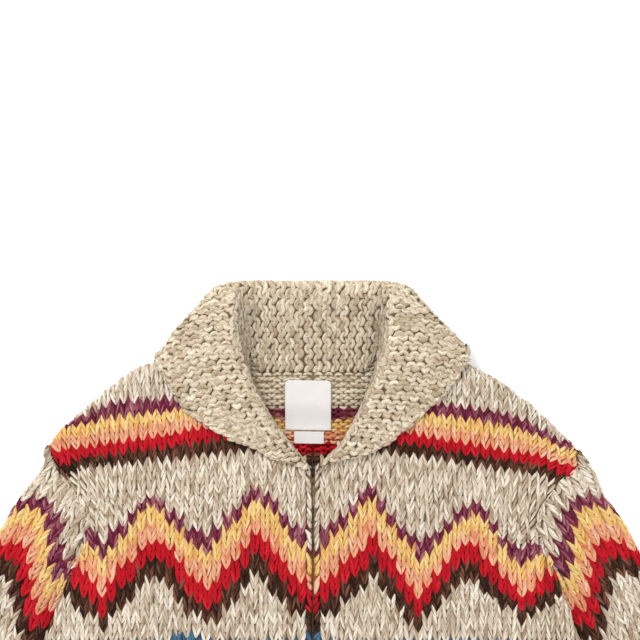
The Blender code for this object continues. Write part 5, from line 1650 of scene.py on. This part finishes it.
def rib_cells(length, rows, pitch, first=4.6, repeat=28.6):
    """Two knitted columns, then two purled ones, over a strip: knit middles, purl middles."""
    knit, purl = [], []
    count = int(math.ceil(length / repeat))
    for g in range(count):
        for k in (0, 1):
            knit += [(first + g * repeat + k * RIB_WALE, (j + 0.5) * pitch) for j in range(rows)]
            purl += [(first + g * repeat + 2 * RIB_WALE - 1.2 + (k + 0.3) * 6.0, (j + 0.5) * pitch) for j in range(rows)]
    return np.array(knit), np.array(purl)


def rib_yarn(length, deep, rng, place, flip, name, fine, under=0.0):
    """Stitches of a ribbed strip, deep down it, with its cast-off edge."""
    pitch = deep / round(deep / 6.1)
    rows = int(round(deep / 6.1))
    knit, purl = rib_cells(length, rows, pitch)
    knit, purl = knit[knit[:, 0] < length + 3], purl[purl[:, 0] < length + 3]
    lines = LINES if fine else 3
    st = Strands(4 if fine else 2, lines, flip=flip)
    n = len(knit)
    v, c = knit_legs(knit, np.tile([1.0, 0.0], (n, 1)), np.tile([0.0, 1.0], (n, 1)), np.full(n, pitch),
                     np.full(n, NATURAL), rng, fine=fine, half=2.1, tall=1.0, wale=RIB_WALE)
    st.add(place(v[..., 0], np.clip(v[..., 1], 0.0, deep + 0.6), v[..., 2] - under), c)
    n = len(purl)
    steps = 6 if fine else 4
    tv, tc = arcs(purl, np.tile([1.0, 0.0], (n, 1)), np.tile([0.0, 1.0], (n, 1)), 6.6, 1.6, 2.2, -0.3,
                  np.full(n, NATURAL), rng, -1.0, steps=steps, lines=lines, tuck=1.3)
    st.add(place(tv[..., 0], np.clip(tv[..., 1], 0, deep), tv[..., 2] - under), tc)
    at = np.arange(3.0, length, 5.2)
    tv, tc = arcs(np.stack([at, np.full(len(at), deep - 1.6)], -1), np.tile([0.96, 0.28], (len(at), 1)),
                  np.tile([0.0, 1.0], (len(at), 1)), 9.5, 1.0, 2.1, 0.9, np.full(len(at), NATURAL), rng, 1.0,
                  steps=steps, lines=lines, tuck=2.2, low=-2.6)
    st.add(place(tv[..., 0], np.clip(tv[..., 1], 0, deep + 1.2), tv[..., 2] - under), tc)
    return st.build(name)


def hems():
    rng = np.random.default_rng(91)
    deep = 1033.0 - 975.3
    back_parts, bases = [], []
    for side, which in ((-1, "left"), (1, "right")):
        def put(d, y, h, front=True):
            y = 975.3 + y
            d = 0.7 + d * (np.interp(y, HEM_ROWS, HEM_OUT) - 0.7) / 266.3      # the rib draws in
            return place_hem(side, d, y, h, front)
        st = rib_yarn(266.3, deep, rng, lambda a, b, h: put(a, b, h), side > 0, "hem_%s_stitches" % which, True)
        for front in (True, False):
            dd = np.concatenate([np.linspace(0.6 if front else 0.0, 250.0, 60), np.linspace(253, 270, 10)])
            yy = np.linspace(975.3, 1033.0, 14)
            gy, gd = np.meshgrid(yy, dd, indexing="ij")
            gd = gd * np.interp(gy, HEM_ROWS, HEM_OUT) / 267.0
            low = -2.2 - 0.5 * np.cos(2 * math.pi * (gd - 8.0) / 28.6)
            top = place_hem(side, gd.ravel(), gy.ravel(), low.ravel() if front else np.full(gd.size, -1.9), front)
            inn = place_hem(side, gd.ravel(), gy.ravel(), np.full(gd.size, -4.4), front)
            col = np.tile(ground(NATURAL), (gd.size, 1))
            if front:
                base = shell("hem_%s_knit" % which, top, inn, grid_quads(*gd.shape), FELT, col)
                declare(base, ["hem_" + which], [st])
            else:
                bases.append((top, inn, grid_quads(*gd.shape), col))
        back_parts.append(rib_yarn(267.0, deep, rng, lambda a, b, h: put(a - 0.6, b, h, False), side < 0,
                                   "hem_back_%s_stitches" % which, False, under=1.15))
    n = len(bases[0][0])
    quads = np.concatenate([bases[0][2], bases[1][2][:, [0, 3, 2, 1]] + n])
    base = shell("hem_back_knit", np.concatenate([b[0] for b in bases]), np.concatenate([b[1] for b in bases]), quads,
                 FELT, np.concatenate([b[3] for b in bases]))
    declare(base, ["hem_back"], back_parts)


hems()

# ---------------------------------------------------------------------- cuffs
CUFF_T, CUFF_PINCH = [0.0, 0.20, 0.6, 1.0], [3.0, 5.5, 6.5, 6.0]
CUFF_LONG = math.hypot(17.0, 60.0)


def place_cuff(side, f, t, h):
    """f: share of the way round, from the table up the inner fold and over; t: down it."""
    od, oy, nd, ny = SLEEVE[-1]
    f, t, h = np.broadcast_arrays(*(np.asarray(q, float) for q in (f, t, h)))
    w = math.hypot(od - nd, oy - ny)
    ux, uy = (od - nd) / w, (oy - ny) / w
    pinch = np.interp(t, CUFF_T, CUFF_PINCH)
    r = SLEEVE_FLAT / 2
    span = w - 2 * pinch
    flat_ = span - 2 * r
    per = 2 * flat_ + 2 * math.pi * r
    q = (f % 1.0) * per
    bend = math.pi * r
    a1 = -math.pi / 2 + q / r
    s, z = r - (r + h) * np.cos(a1), r + (r + h) * np.sin(a1)
    top = q > bend
    s, z = np.where(top, r + q - bend, s), np.where(top, 2 * r + h, z)
    a3 = math.pi / 2 - (q - bend - flat_) / r
    out = q > bend + flat_
    s, z = np.where(out, span - r + (r + h) * np.cos(a3), s), np.where(out, r + (r + h) * np.sin(a3), z)
    low = q > 2 * bend + flat_
    s, z = np.where(low, span - r - (q - 2 * bend - flat_), s), np.where(low, -h, z)
    x = nd + 17.0 * t + ux * (pinch + s)
    y = ny + 60.0 * t + uy * (pinch + s) + 0.5 * (t < 0.1)
    return world(side * x, y, np.maximum(z, 0.12))


def cuff(which):
    side = -1 if which == "left" else 1
    rng = np.random.default_rng(131 + side)
    per = 171.6

    def put(a, b, h):
        f = a / per
        low = S((f - 0.60) / 0.03) * S((1.02 - f) / 0.03)        # flatter where it rests
        return place_cuff(side, f, 0.004 + np.clip(b, 0, 63) / CUFF_LONG, h - 1.15 * low)
    st = rib_yarn(per - 3, CUFF_LONG - 0.6, rng, put, side < 0, "cuff_%s_stitches" % which, True)
    f, t = np.meshgrid(np.linspace(0, 1, 73), np.linspace(0.004, 1.0, 10), indexing="ij")
    top = place_cuff(side, f.ravel(), t.ravel(), np.full(f.size, -1.9))
    inn = place_cuff(side, f.ravel(), t.ravel(), np.full(f.size, -4.4))
    base = shell("cuff_%s_knit" % which, top, inn, grid_quads(*f.shape), FELT, np.tile(ground(NATURAL), (f.size, 1)))
    declare(base, ["cuff_" + which], [st])


cuff("left")
cuff("right")

# ------------------------------------------------------------------------ zip


def plain_material(name, colour, vary, scale, rough, metal=0.0, wave=None, bump=0.3, depth=0.0002):
    """Colour with a soft unevenness; wave gives a woven line (scale, turn in degrees)."""
    m, nt, b, link = nodes_of(name)
    co = nt.nodes.new("ShaderNodeTexCoord")
    noise = node(nt, "ShaderNodeTexNoise", Scale=scale, Detail=4.0, Roughness=0.6)
    link(co.outputs["Object"], noise.inputs["Vector"])
    ramp = nt.nodes.new("ShaderNodeValToRGB")
    c = np.array(colour)
    ramp.color_ramp.elements[0].position, ramp.color_ramp.elements[1].position = 0.3, 0.7
    ramp.color_ramp.elements[0].color = (*np.clip(c * (1 - vary), 0, 1), 1)
    ramp.color_ramp.elements[1].color = (*np.clip(c * (1 + vary), 0, 1), 1)
    link(noise.outputs["Fac"], ramp.inputs["Fac"])
    height = noise.outputs["Fac"]
    colour_out = ramp.outputs["Color"]
    if wave:
        turn = node(nt, "ShaderNodeMapping")
        turn.inputs["Rotation"].default_value = (0, 0, math.radians(wave[1]))
        link(co.outputs["Object"], turn.inputs["Vector"])
        wv = node(nt, "ShaderNodeTexWave", Scale=wave[0], Distortion=0.6, Detail=1.0)
        link(turn.outputs["Vector"], wv.inputs["Vector"])
        other = node(nt, "ShaderNodeMapping")
        other.inputs["Rotation"].default_value = (0, 0, math.radians(wave[1] + 90))
        link(co.outputs["Object"], other.inputs["Vector"])
        wv2 = node(nt, "ShaderNodeTexWave", Scale=wave[0] * 0.8, Distortion=0.6, Detail=1.0)
        link(other.outputs["Vector"], wv2.inputs["Vector"])
        add = nt.nodes.new("ShaderNodeMath")
        add.operation = "ADD"
        link(wv.outputs["Fac"], add.inputs[0])
        link(wv2.outputs["Fac"], add.inputs[1])
        height = add.outputs["Value"]
        tone = node(nt, "ShaderNodeMapRange")
        tone.inputs["From Max"].default_value = 2.0
        tone.inputs["To Min"].default_value = wave[2]
        tone.inputs["To Max"].default_value = 2 - wave[2]
        link(height, tone.inputs["Value"])
        mul = nt.nodes.new("ShaderNodeVectorMath")
        mul.operation = "SCALE"
        link(ramp.outputs["Color"], mul.inputs[0])
        link(tone.outputs["Result"], mul.inputs["Scale"])
        colour_out = mul.outputs["Vector"]
    link(colour_out, b.inputs["Base Color"])
    bmp = node(nt, "ShaderNodeBump", Strength=bump, Distance=depth)
    link(height, bmp.inputs["Height"])
    link(bmp.outputs["Normal"], b.inputs["Normal"])
    b.inputs["Roughness"].default_value = rough
    b.inputs["Metallic"].default_value = metal
    if not metal:
        b.inputs["Specular IOR Level"].default_value = 0.25
    return m


TAPE_MAT = plain_material("zip_tape_weave", lin((120, 88, 62)), 0.25, 500.0, 0.9, wave=(330.0, 38, 0.72))
BRASS_MAT = plain_material("antique_brass", (0.42, 0.27, 0.12), 0.35, 420.0, 0.42, metal=1.0, bump=0.25, depth=0.0001)
LABEL_MAT = plain_material("label_satin", (0.74, 0.715, 0.705), 0.03, 90.0, 0.55, wave=(900.0, 0, 0.97), bump=0.2,
                           depth=0.00008)


def knit_under(y):
    y = np.asarray(y, float)
    z = np.minimum(front_top(-1, 0.6, np.minimum(y, 974.0)), front_top(1, 0.6, np.minimum(y, 974.0)))
    return np.where(y < 975, z, TOP_FRONT + CENTRE_CROWN) - WALL


def chain_top(y):
    return knit_under(y) - 0.45 - 1.95 * (1 - S((np.asarray(y, float) - 512) / 24))


def tape_top(side, y):
    z = np.minimum(front_top(side, 3.2, np.minimum(y, 974.0)), front_top(side, 17.0, np.minimum(y, 974.0)))
    return np.where(y < 975, z, TOP_FRONT + CENTRE_CROWN * math.exp(-(17 / 50) ** 2)) - WALL - 0.8


def zip_tape(which):
    side = -1 if which == "left" else 1
    ys = np.concatenate([[476.5, 477.0], np.arange(480.0, 1030.0, 6.0), [1031.4, 1032.0]])
    cs = np.array([3.2, 3.5, 4.4, 5.3, 8.0, 11.0, 14.0, 16.2, 16.7, 17.0])
    rise = np.array([-0.5, -0.1, 0.25, 0.0, 0.0, 0.0, 0.0, 0.12, -0.05, -0.45])
    gy, gc = np.meshgrid(ys, cs, indexing="ij")
    up = np.tile(rise, (len(ys), 1)) + 0.08 * np.sin(gy / 9 + gc)
    z = tape_top(side, gy) - 0.25 + up
    low = tape_top(side, gy) - 1.0 - np.minimum(0, 0.0 * up)
    low = np.minimum(low, z - 0.25)
    base = shell("zip_tape_%s_weave" % which, world(side * gc.ravel(), gy.ravel(), z.ravel()),
                 world(side * gc.ravel(), gy.ravel(), low.ravel()), grid_quads(*gy.shape), TAPE_MAT,
                 np.tile([0.2, 0.14, 0.1], (gy.size, 1)))
    declare(base, ["zip_tape_" + which])


zip_tape("left")
zip_tape("right")


def plate(outline, z0, z1, bevel, steps=2):
    """Closed block over an outline, its edges rounded."""
    p = np.array(outline, float)
    mid = p.mean(0)
    away = (p - mid) / np.linalg.norm(p - mid, axis=1, keepdims=True)
    rings = []
    for k in range(steps + 1):
        a = math.pi / 2 * k / steps
        rings.append((bevel * (1 - math.sin(a)), z0 + bevel * (1 - math.cos(a))))
    rings += [(i, z1 + z0 - z) for i, z in rings[::-1]]
    verts = [np.concatenate([p - away * i, np.full((len(p), 1), z)], 1) for i, z in rings]
    n = len(p)
    verts = np.concatenate(verts + [[[*mid, z0]], [[*mid, z1]]])
    quads, tris = [], []
    for r in range(len(rings) - 1):
        for k in range(n):
            quads.append((r * n + k, r * n + (k + 1) % n, (r + 1) * n + (k + 1) % n, (r + 1) * n + k))
    last = (len(rings) - 1) * n
    for k in range(n):
        tris.append((len(verts) - 2, (k + 1) % n, k))
        tris.append((len(verts) - 1, last + k, last + (k + 1) % n))
    return verts, np.array(quads), np.array(tris)


def build_hard(name, parts, mat):
    """Joins closed parts into one mesh, every face turned outwards."""
    vs, qs, ts, at = [], [], [], 0
    for v, q, t in parts:
        w = world(v[:, 0], v[:, 1], v[:, 2])
        tri_all = np.concatenate([q[:, [0, 1, 2]], q[:, [0, 2, 3]], t.reshape(-1, 3)]) if len(q) else t
        a, b, c = w[tri_all[:, 0]], w[tri_all[:, 1]], w[tri_all[:, 2]]
        if np.einsum("ij,ij->i", a, np.cross(b, c)).sum() < 0:
            q, t = q[:, ::-1], t[:, ::-1]
        vs.append(w)
        qs.append(q + at)
        ts.append(t.reshape(-1, 3) + at)
        at += len(w)
    return make_mesh(name, np.concatenate(vs), np.concatenate(qs), np.concatenate(ts), mat)


def loop_tube(path, r, sides=8, closed=True):
    """Round wire along a path of (x, y, z)."""
    p = np.array(path, float)
    n = len(p)
    tang = np.roll(p, -1, 0) - np.roll(p, 1, 0) if closed else np.gradient(p, axis=0)
    tang /= np.linalg.norm(tang, axis=1, keepdims=True)
    ref = np.array([0.0, 0.0, 1.0]) if abs(tang[:, 2]).max() < 0.9 else np.array([1.0, 0.0, 0.0])
    a = np.cross(tang, ref)
    a /= np.linalg.norm(a, axis=1, keepdims=True)
    b = np.cross(tang, a)
    ang = np.arange(sides) * 2 * math.pi / sides
    v = p[:, None] + r * (a[:, None] * np.cos(ang)[None, :, None] + b[:, None] * np.sin(ang)[None, :, None])
    quads = []
    for k in range(n if closed else n - 1):
        for j in range(sides):
            k2, j2 = (k + 1) % n, (j + 1) % sides
            quads.append((k * sides + j, k * sides + j2, k2 * sides + j2, k2 * sides + j))
    tris = []
    v = v.reshape(-1, 3)
    if not closed:
        v = np.concatenate([v, p[:1], p[-1:]])
        for j in range(sides):
            j2 = (j + 1) % sides
            tris.append((len(v) - 2, j2, j))
            tris.append((len(v) - 1, (n - 1) * sides + j, (n - 1) * sides + j2))
    return v, np.array(quads), np.array(tris, int).reshape(-1, 3)


def zip_teeth():
    """Two rows of cast teeth, each with a nib that sits in the next one."""
    parts = []
    pitch = 2.8
    count = int((1031.2 - 491.5) / pitch)
    for k in range(count):
        for side in (-1, 1):
            y = 491.6 + pitch * k + (0.0 if side < 0 else pitch / 2)
            top = float(chain_top(y))
            out = np.array([(2.2, -0.62), (2.2, 0.62), (0.9, 0.72), (0.1, 0.62), (-0.55, 0.34), (-0.55, -0.34),
                            (0.1, -0.62), (0.9, -0.72)])
            out[:, 0] *= side
            out[:, 1] += y
            parts.append(plate(out, top - 2.15, top, 0.22, steps=1))
    ob = build_hard("zip_chain_teeth", parts, BRASS_MAT)
    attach(ob, "root")
    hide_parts("zip_chain")


zip_teeth()


def slider_and_pull():
    z = float(knit_under(482.0))
    ang = np.arange(28) * 2 * math.pi / 28
    body = []
    for a in ang:                                     # shield: wide above, narrow below
        c, s = math.cos(a), math.sin(a)
        yy = 484.2 + 5.6 * np.sign(s) * abs(s) ** 0.75
        wide = np.interp(yy, [478.5, 481.0, 486.0, 490.0], [2.6, 3.1, 2.9, 2.2])
        body.append((wide * np.sign(c) * abs(c) ** 0.6, yy))
    parts = [plate(body, z - 5.8, z - 4.9, 0.3), plate(body, z - 3.0, z - 2.05, 0.35)]
    post = [(1.0 * math.cos(a), 481.6 + 1.7 * math.sin(a)) for a in ang[::2]]
    parts.append(plate(post, z - 5.2, z - 2.6, 0.1, steps=1))
    for s in (-1, 1):                                  # side walls of the lower half
        wall = [(s * 2.45 + 0.3 * math.cos(a), 486.6 + 2.8 * math.sin(a)) for a in ang[::2]]
        parts.append(plate(wall, z - 5.2, z - 2.7, 0.1, steps=1))
    arch = [(0.0, 480.6 + 6.4 * t, z - 2.3 + 0.55 * math.sin(math.pi * t)) for t in np.linspace(0, 1, 12)]
    parts.append(loop_tube(arch, 0.38, closed=False))
    ob = build_hard("zip_slider_body", parts, BRASS_MAT)
    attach(ob, "root")
    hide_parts("zip_slider")
    # the tab: a flat bar with an eye at its upper end and a raised rim
    out, eye = [], []
    for a in ang:
        c, s = math.cos(a), math.sin(a)
        yy = 494.0 + 13.9 * np.sign(s) * abs(s) ** 0.55
        wide = np.interp(yy, [480, 484, 496, 505, 508], [1.55, 1.9, 2.3, 2.4, 1.8])
        out.append((wide * np.sign(c) * abs(c) ** 0.5, yy))
        eye.append((0.75 * c, 483.4 + 1.5 * s))
    out, eye = np.array(out), np.array(eye)
    n = len(ang)
    z0, z1 = z - 1.45, z - 0.45
    mid = out.mean(0)
    away = (out - mid) / np.linalg.norm(out - mid, axis=1, keepdims=True)
    rings = [(eye, z0 + 0.15), (eye * 0.7 + out * 0.3, z0), (out - away * 0.25, z0), (out, z0 + 0.25), (out, z1 - 0.25),
             (out - away * 0.2, z1), (out - away * 0.55, z1 - 0.02), (out - away * 0.7, z1 - 0.22),
             (eye * 0.7 + out * 0.3, z1 - 0.22), (eye, z1 - 0.3)]
    verts = np.concatenate([np.concatenate([p, np.full((n, 1), zz)], 1) for p, zz in rings])
    m = len(rings)
    quads = [(r * n + k, r * n + (k + 1) % n, ((r + 1) % m) * n + (k + 1) % n, ((r + 1) % m) * n + k)
             for r in range(m) for k in range(n)]
    ob = build_hard("zip_pull_tab", [(verts, np.array(quads), np.zeros((0, 3), int))], BRASS_MAT)
    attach(ob, "root")
    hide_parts("zip_pull")


slider_and_pull()

# --------------------------------------------------------------------- labels


def label(name, x0, x1, y0, y1, corner, raise_by, node_name):
    """A bare woven label; its upper corners are rounded and its edges folded."""
    ts = np.concatenate([[0, 0.012, 0.03], np.linspace(0.07, 0.93, 20), [0.97, 0.988, 1.0]])
    nx, ny = len(ts), 30
    vs = np.concatenate([[0, 0.02, 0.05], np.linspace(0.1, 0.94, ny - 5), [0.98, 1.0]])
    gv, gt = np.meshgrid(vs, ts, indexing="ij")
    y = y0 + (y1 - y0) * gv
    down = np.clip(y - y0, 0, corner)
    cut = (corner - np.sqrt(np.clip(corner ** 2 - (corner - down) ** 2, 0, None))) if corner else 0 * y
    x = x0 + cut + (x1 - x0 - 2 * cut) * gt
    yy = y + (x - 0.5 * (x0 + x1)) * 0.012
    z = np.maximum(lift(1, np.abs(x), yy - 5), lift(1, np.abs(x), yy + 1))
    z = np.maximum(z, np.maximum(lift(-1, np.abs(x), yy - 5), lift(-1, np.abs(x), yy + 1))) + WALL + raise_by
    rim = np.minimum(np.minimum(x - (x0 + cut), (x1 - cut) - x), np.minimum(y - y0, y1 - y))
    top = z + 0.62 + 0.22 * S(rim / 0.6) * (1 - 0.55 * S((rim - 1.2) / 0.9)) \
        + 0.16 * np.sin(x / 7.0 + 0.8) * np.sin(y / 9.0) * S(rim / 5)
    base = shell(name + "_satin", world(x.ravel(), yy.ravel(), top.ravel()), world(x.ravel(), yy.ravel(), (z + 0.02).ravel()),
                 grid_quads(*x.shape), LABEL_MAT, np.ones((x.size, 3)))
    declare(base, [node_name])


label("neck_label", -28.0, 18.0, 380.5, 431.0, 3.6, 0.9, "neck_label")
label("small_label", -19.0, 11.0, 432.2, 444.5, 0.0, 0.4, "small_label")

# ----------------------------------------------------------- camera and lights
cam_data = bpy.data.cameras.new("camera")
cam_data.sensor_width = 36.0
cam_data.lens = 85.0
cam = bpy.data.objects.new("camera", cam_data)
bpy.context.collection.objects.link(cam)
AIM = ((320 - 313) * 0.001, (Y_MID - 320.0) * 0.001)
cam.location = (AIM[0], AIM[1], 0.016 + 0.640 * 85.0 / 36.0)
cam.rotation_euler = (0, 0, 0)
cam_data.clip_start = 0.05
bpy.context.scene.camera = cam

floor_mesh = bpy.data.meshes.new("floor")
floor_mesh.from_pydata([(-3, -3, 0), (3, -3, 0), (3, 3, 0), (-3, 3, 0)], [], [(0, 1, 2, 3)])
floor = bpy.data.objects.new("floor", floor_mesh)
bpy.context.collection.objects.link(floor)
floor.location.z = -0.0002
fm, fnt, fb, flink = nodes_of("floor")
fb.inputs["Base Color"].default_value = (0.9, 0.9, 0.9, 1)
fb.inputs["Roughness"].default_value = 0.9
fb.inputs["Emission Color"].default_value = (1, 1, 1, 1)
fb.inputs["Emission Strength"].default_value = 0.28
floor_mesh.materials.append(fm)

world_ = bpy.data.worlds.new("studio")
bpy.context.scene.world = world_
world_.use_nodes = True
world_.node_tree.nodes["Background"].inputs["Color"].default_value = (1.0, 0.99, 0.975, 1)
world_.node_tree.nodes["Background"].inputs["Strength"].default_value = 0.78


def area_light(name, loc, aim, size, power, colour=(1, 1, 1)):
    data = bpy.data.lights.new(name, "AREA")
    data.shape = "RECTANGLE"
    data.size, data.size_y = size
    data.energy = power
    data.color = colour
    ob = bpy.data.objects.new(name, data)
    bpy.context.collection.objects.link(ob)
    ob.location = loc
    way = np.array(aim, float) - np.array(loc, float)
    from mathutils import Vector
    ob.rotation_euler = Vector(way).to_track_quat("-Z", "Y").to_euler()
    return ob


area_light("key", (-0.9, 1.5, 1.5), (0, 0.1, 0), (0.9, 0.7), 25.0, (1.0, 0.985, 0.96))
area_light("fill", (1.4, -0.6, 1.6), (0, 0.1, 0), (1.4, 1.2), 8.0, (0.98, 0.99, 1.0))

bpy.context.scene.view_settings.view_transform = "Standard"
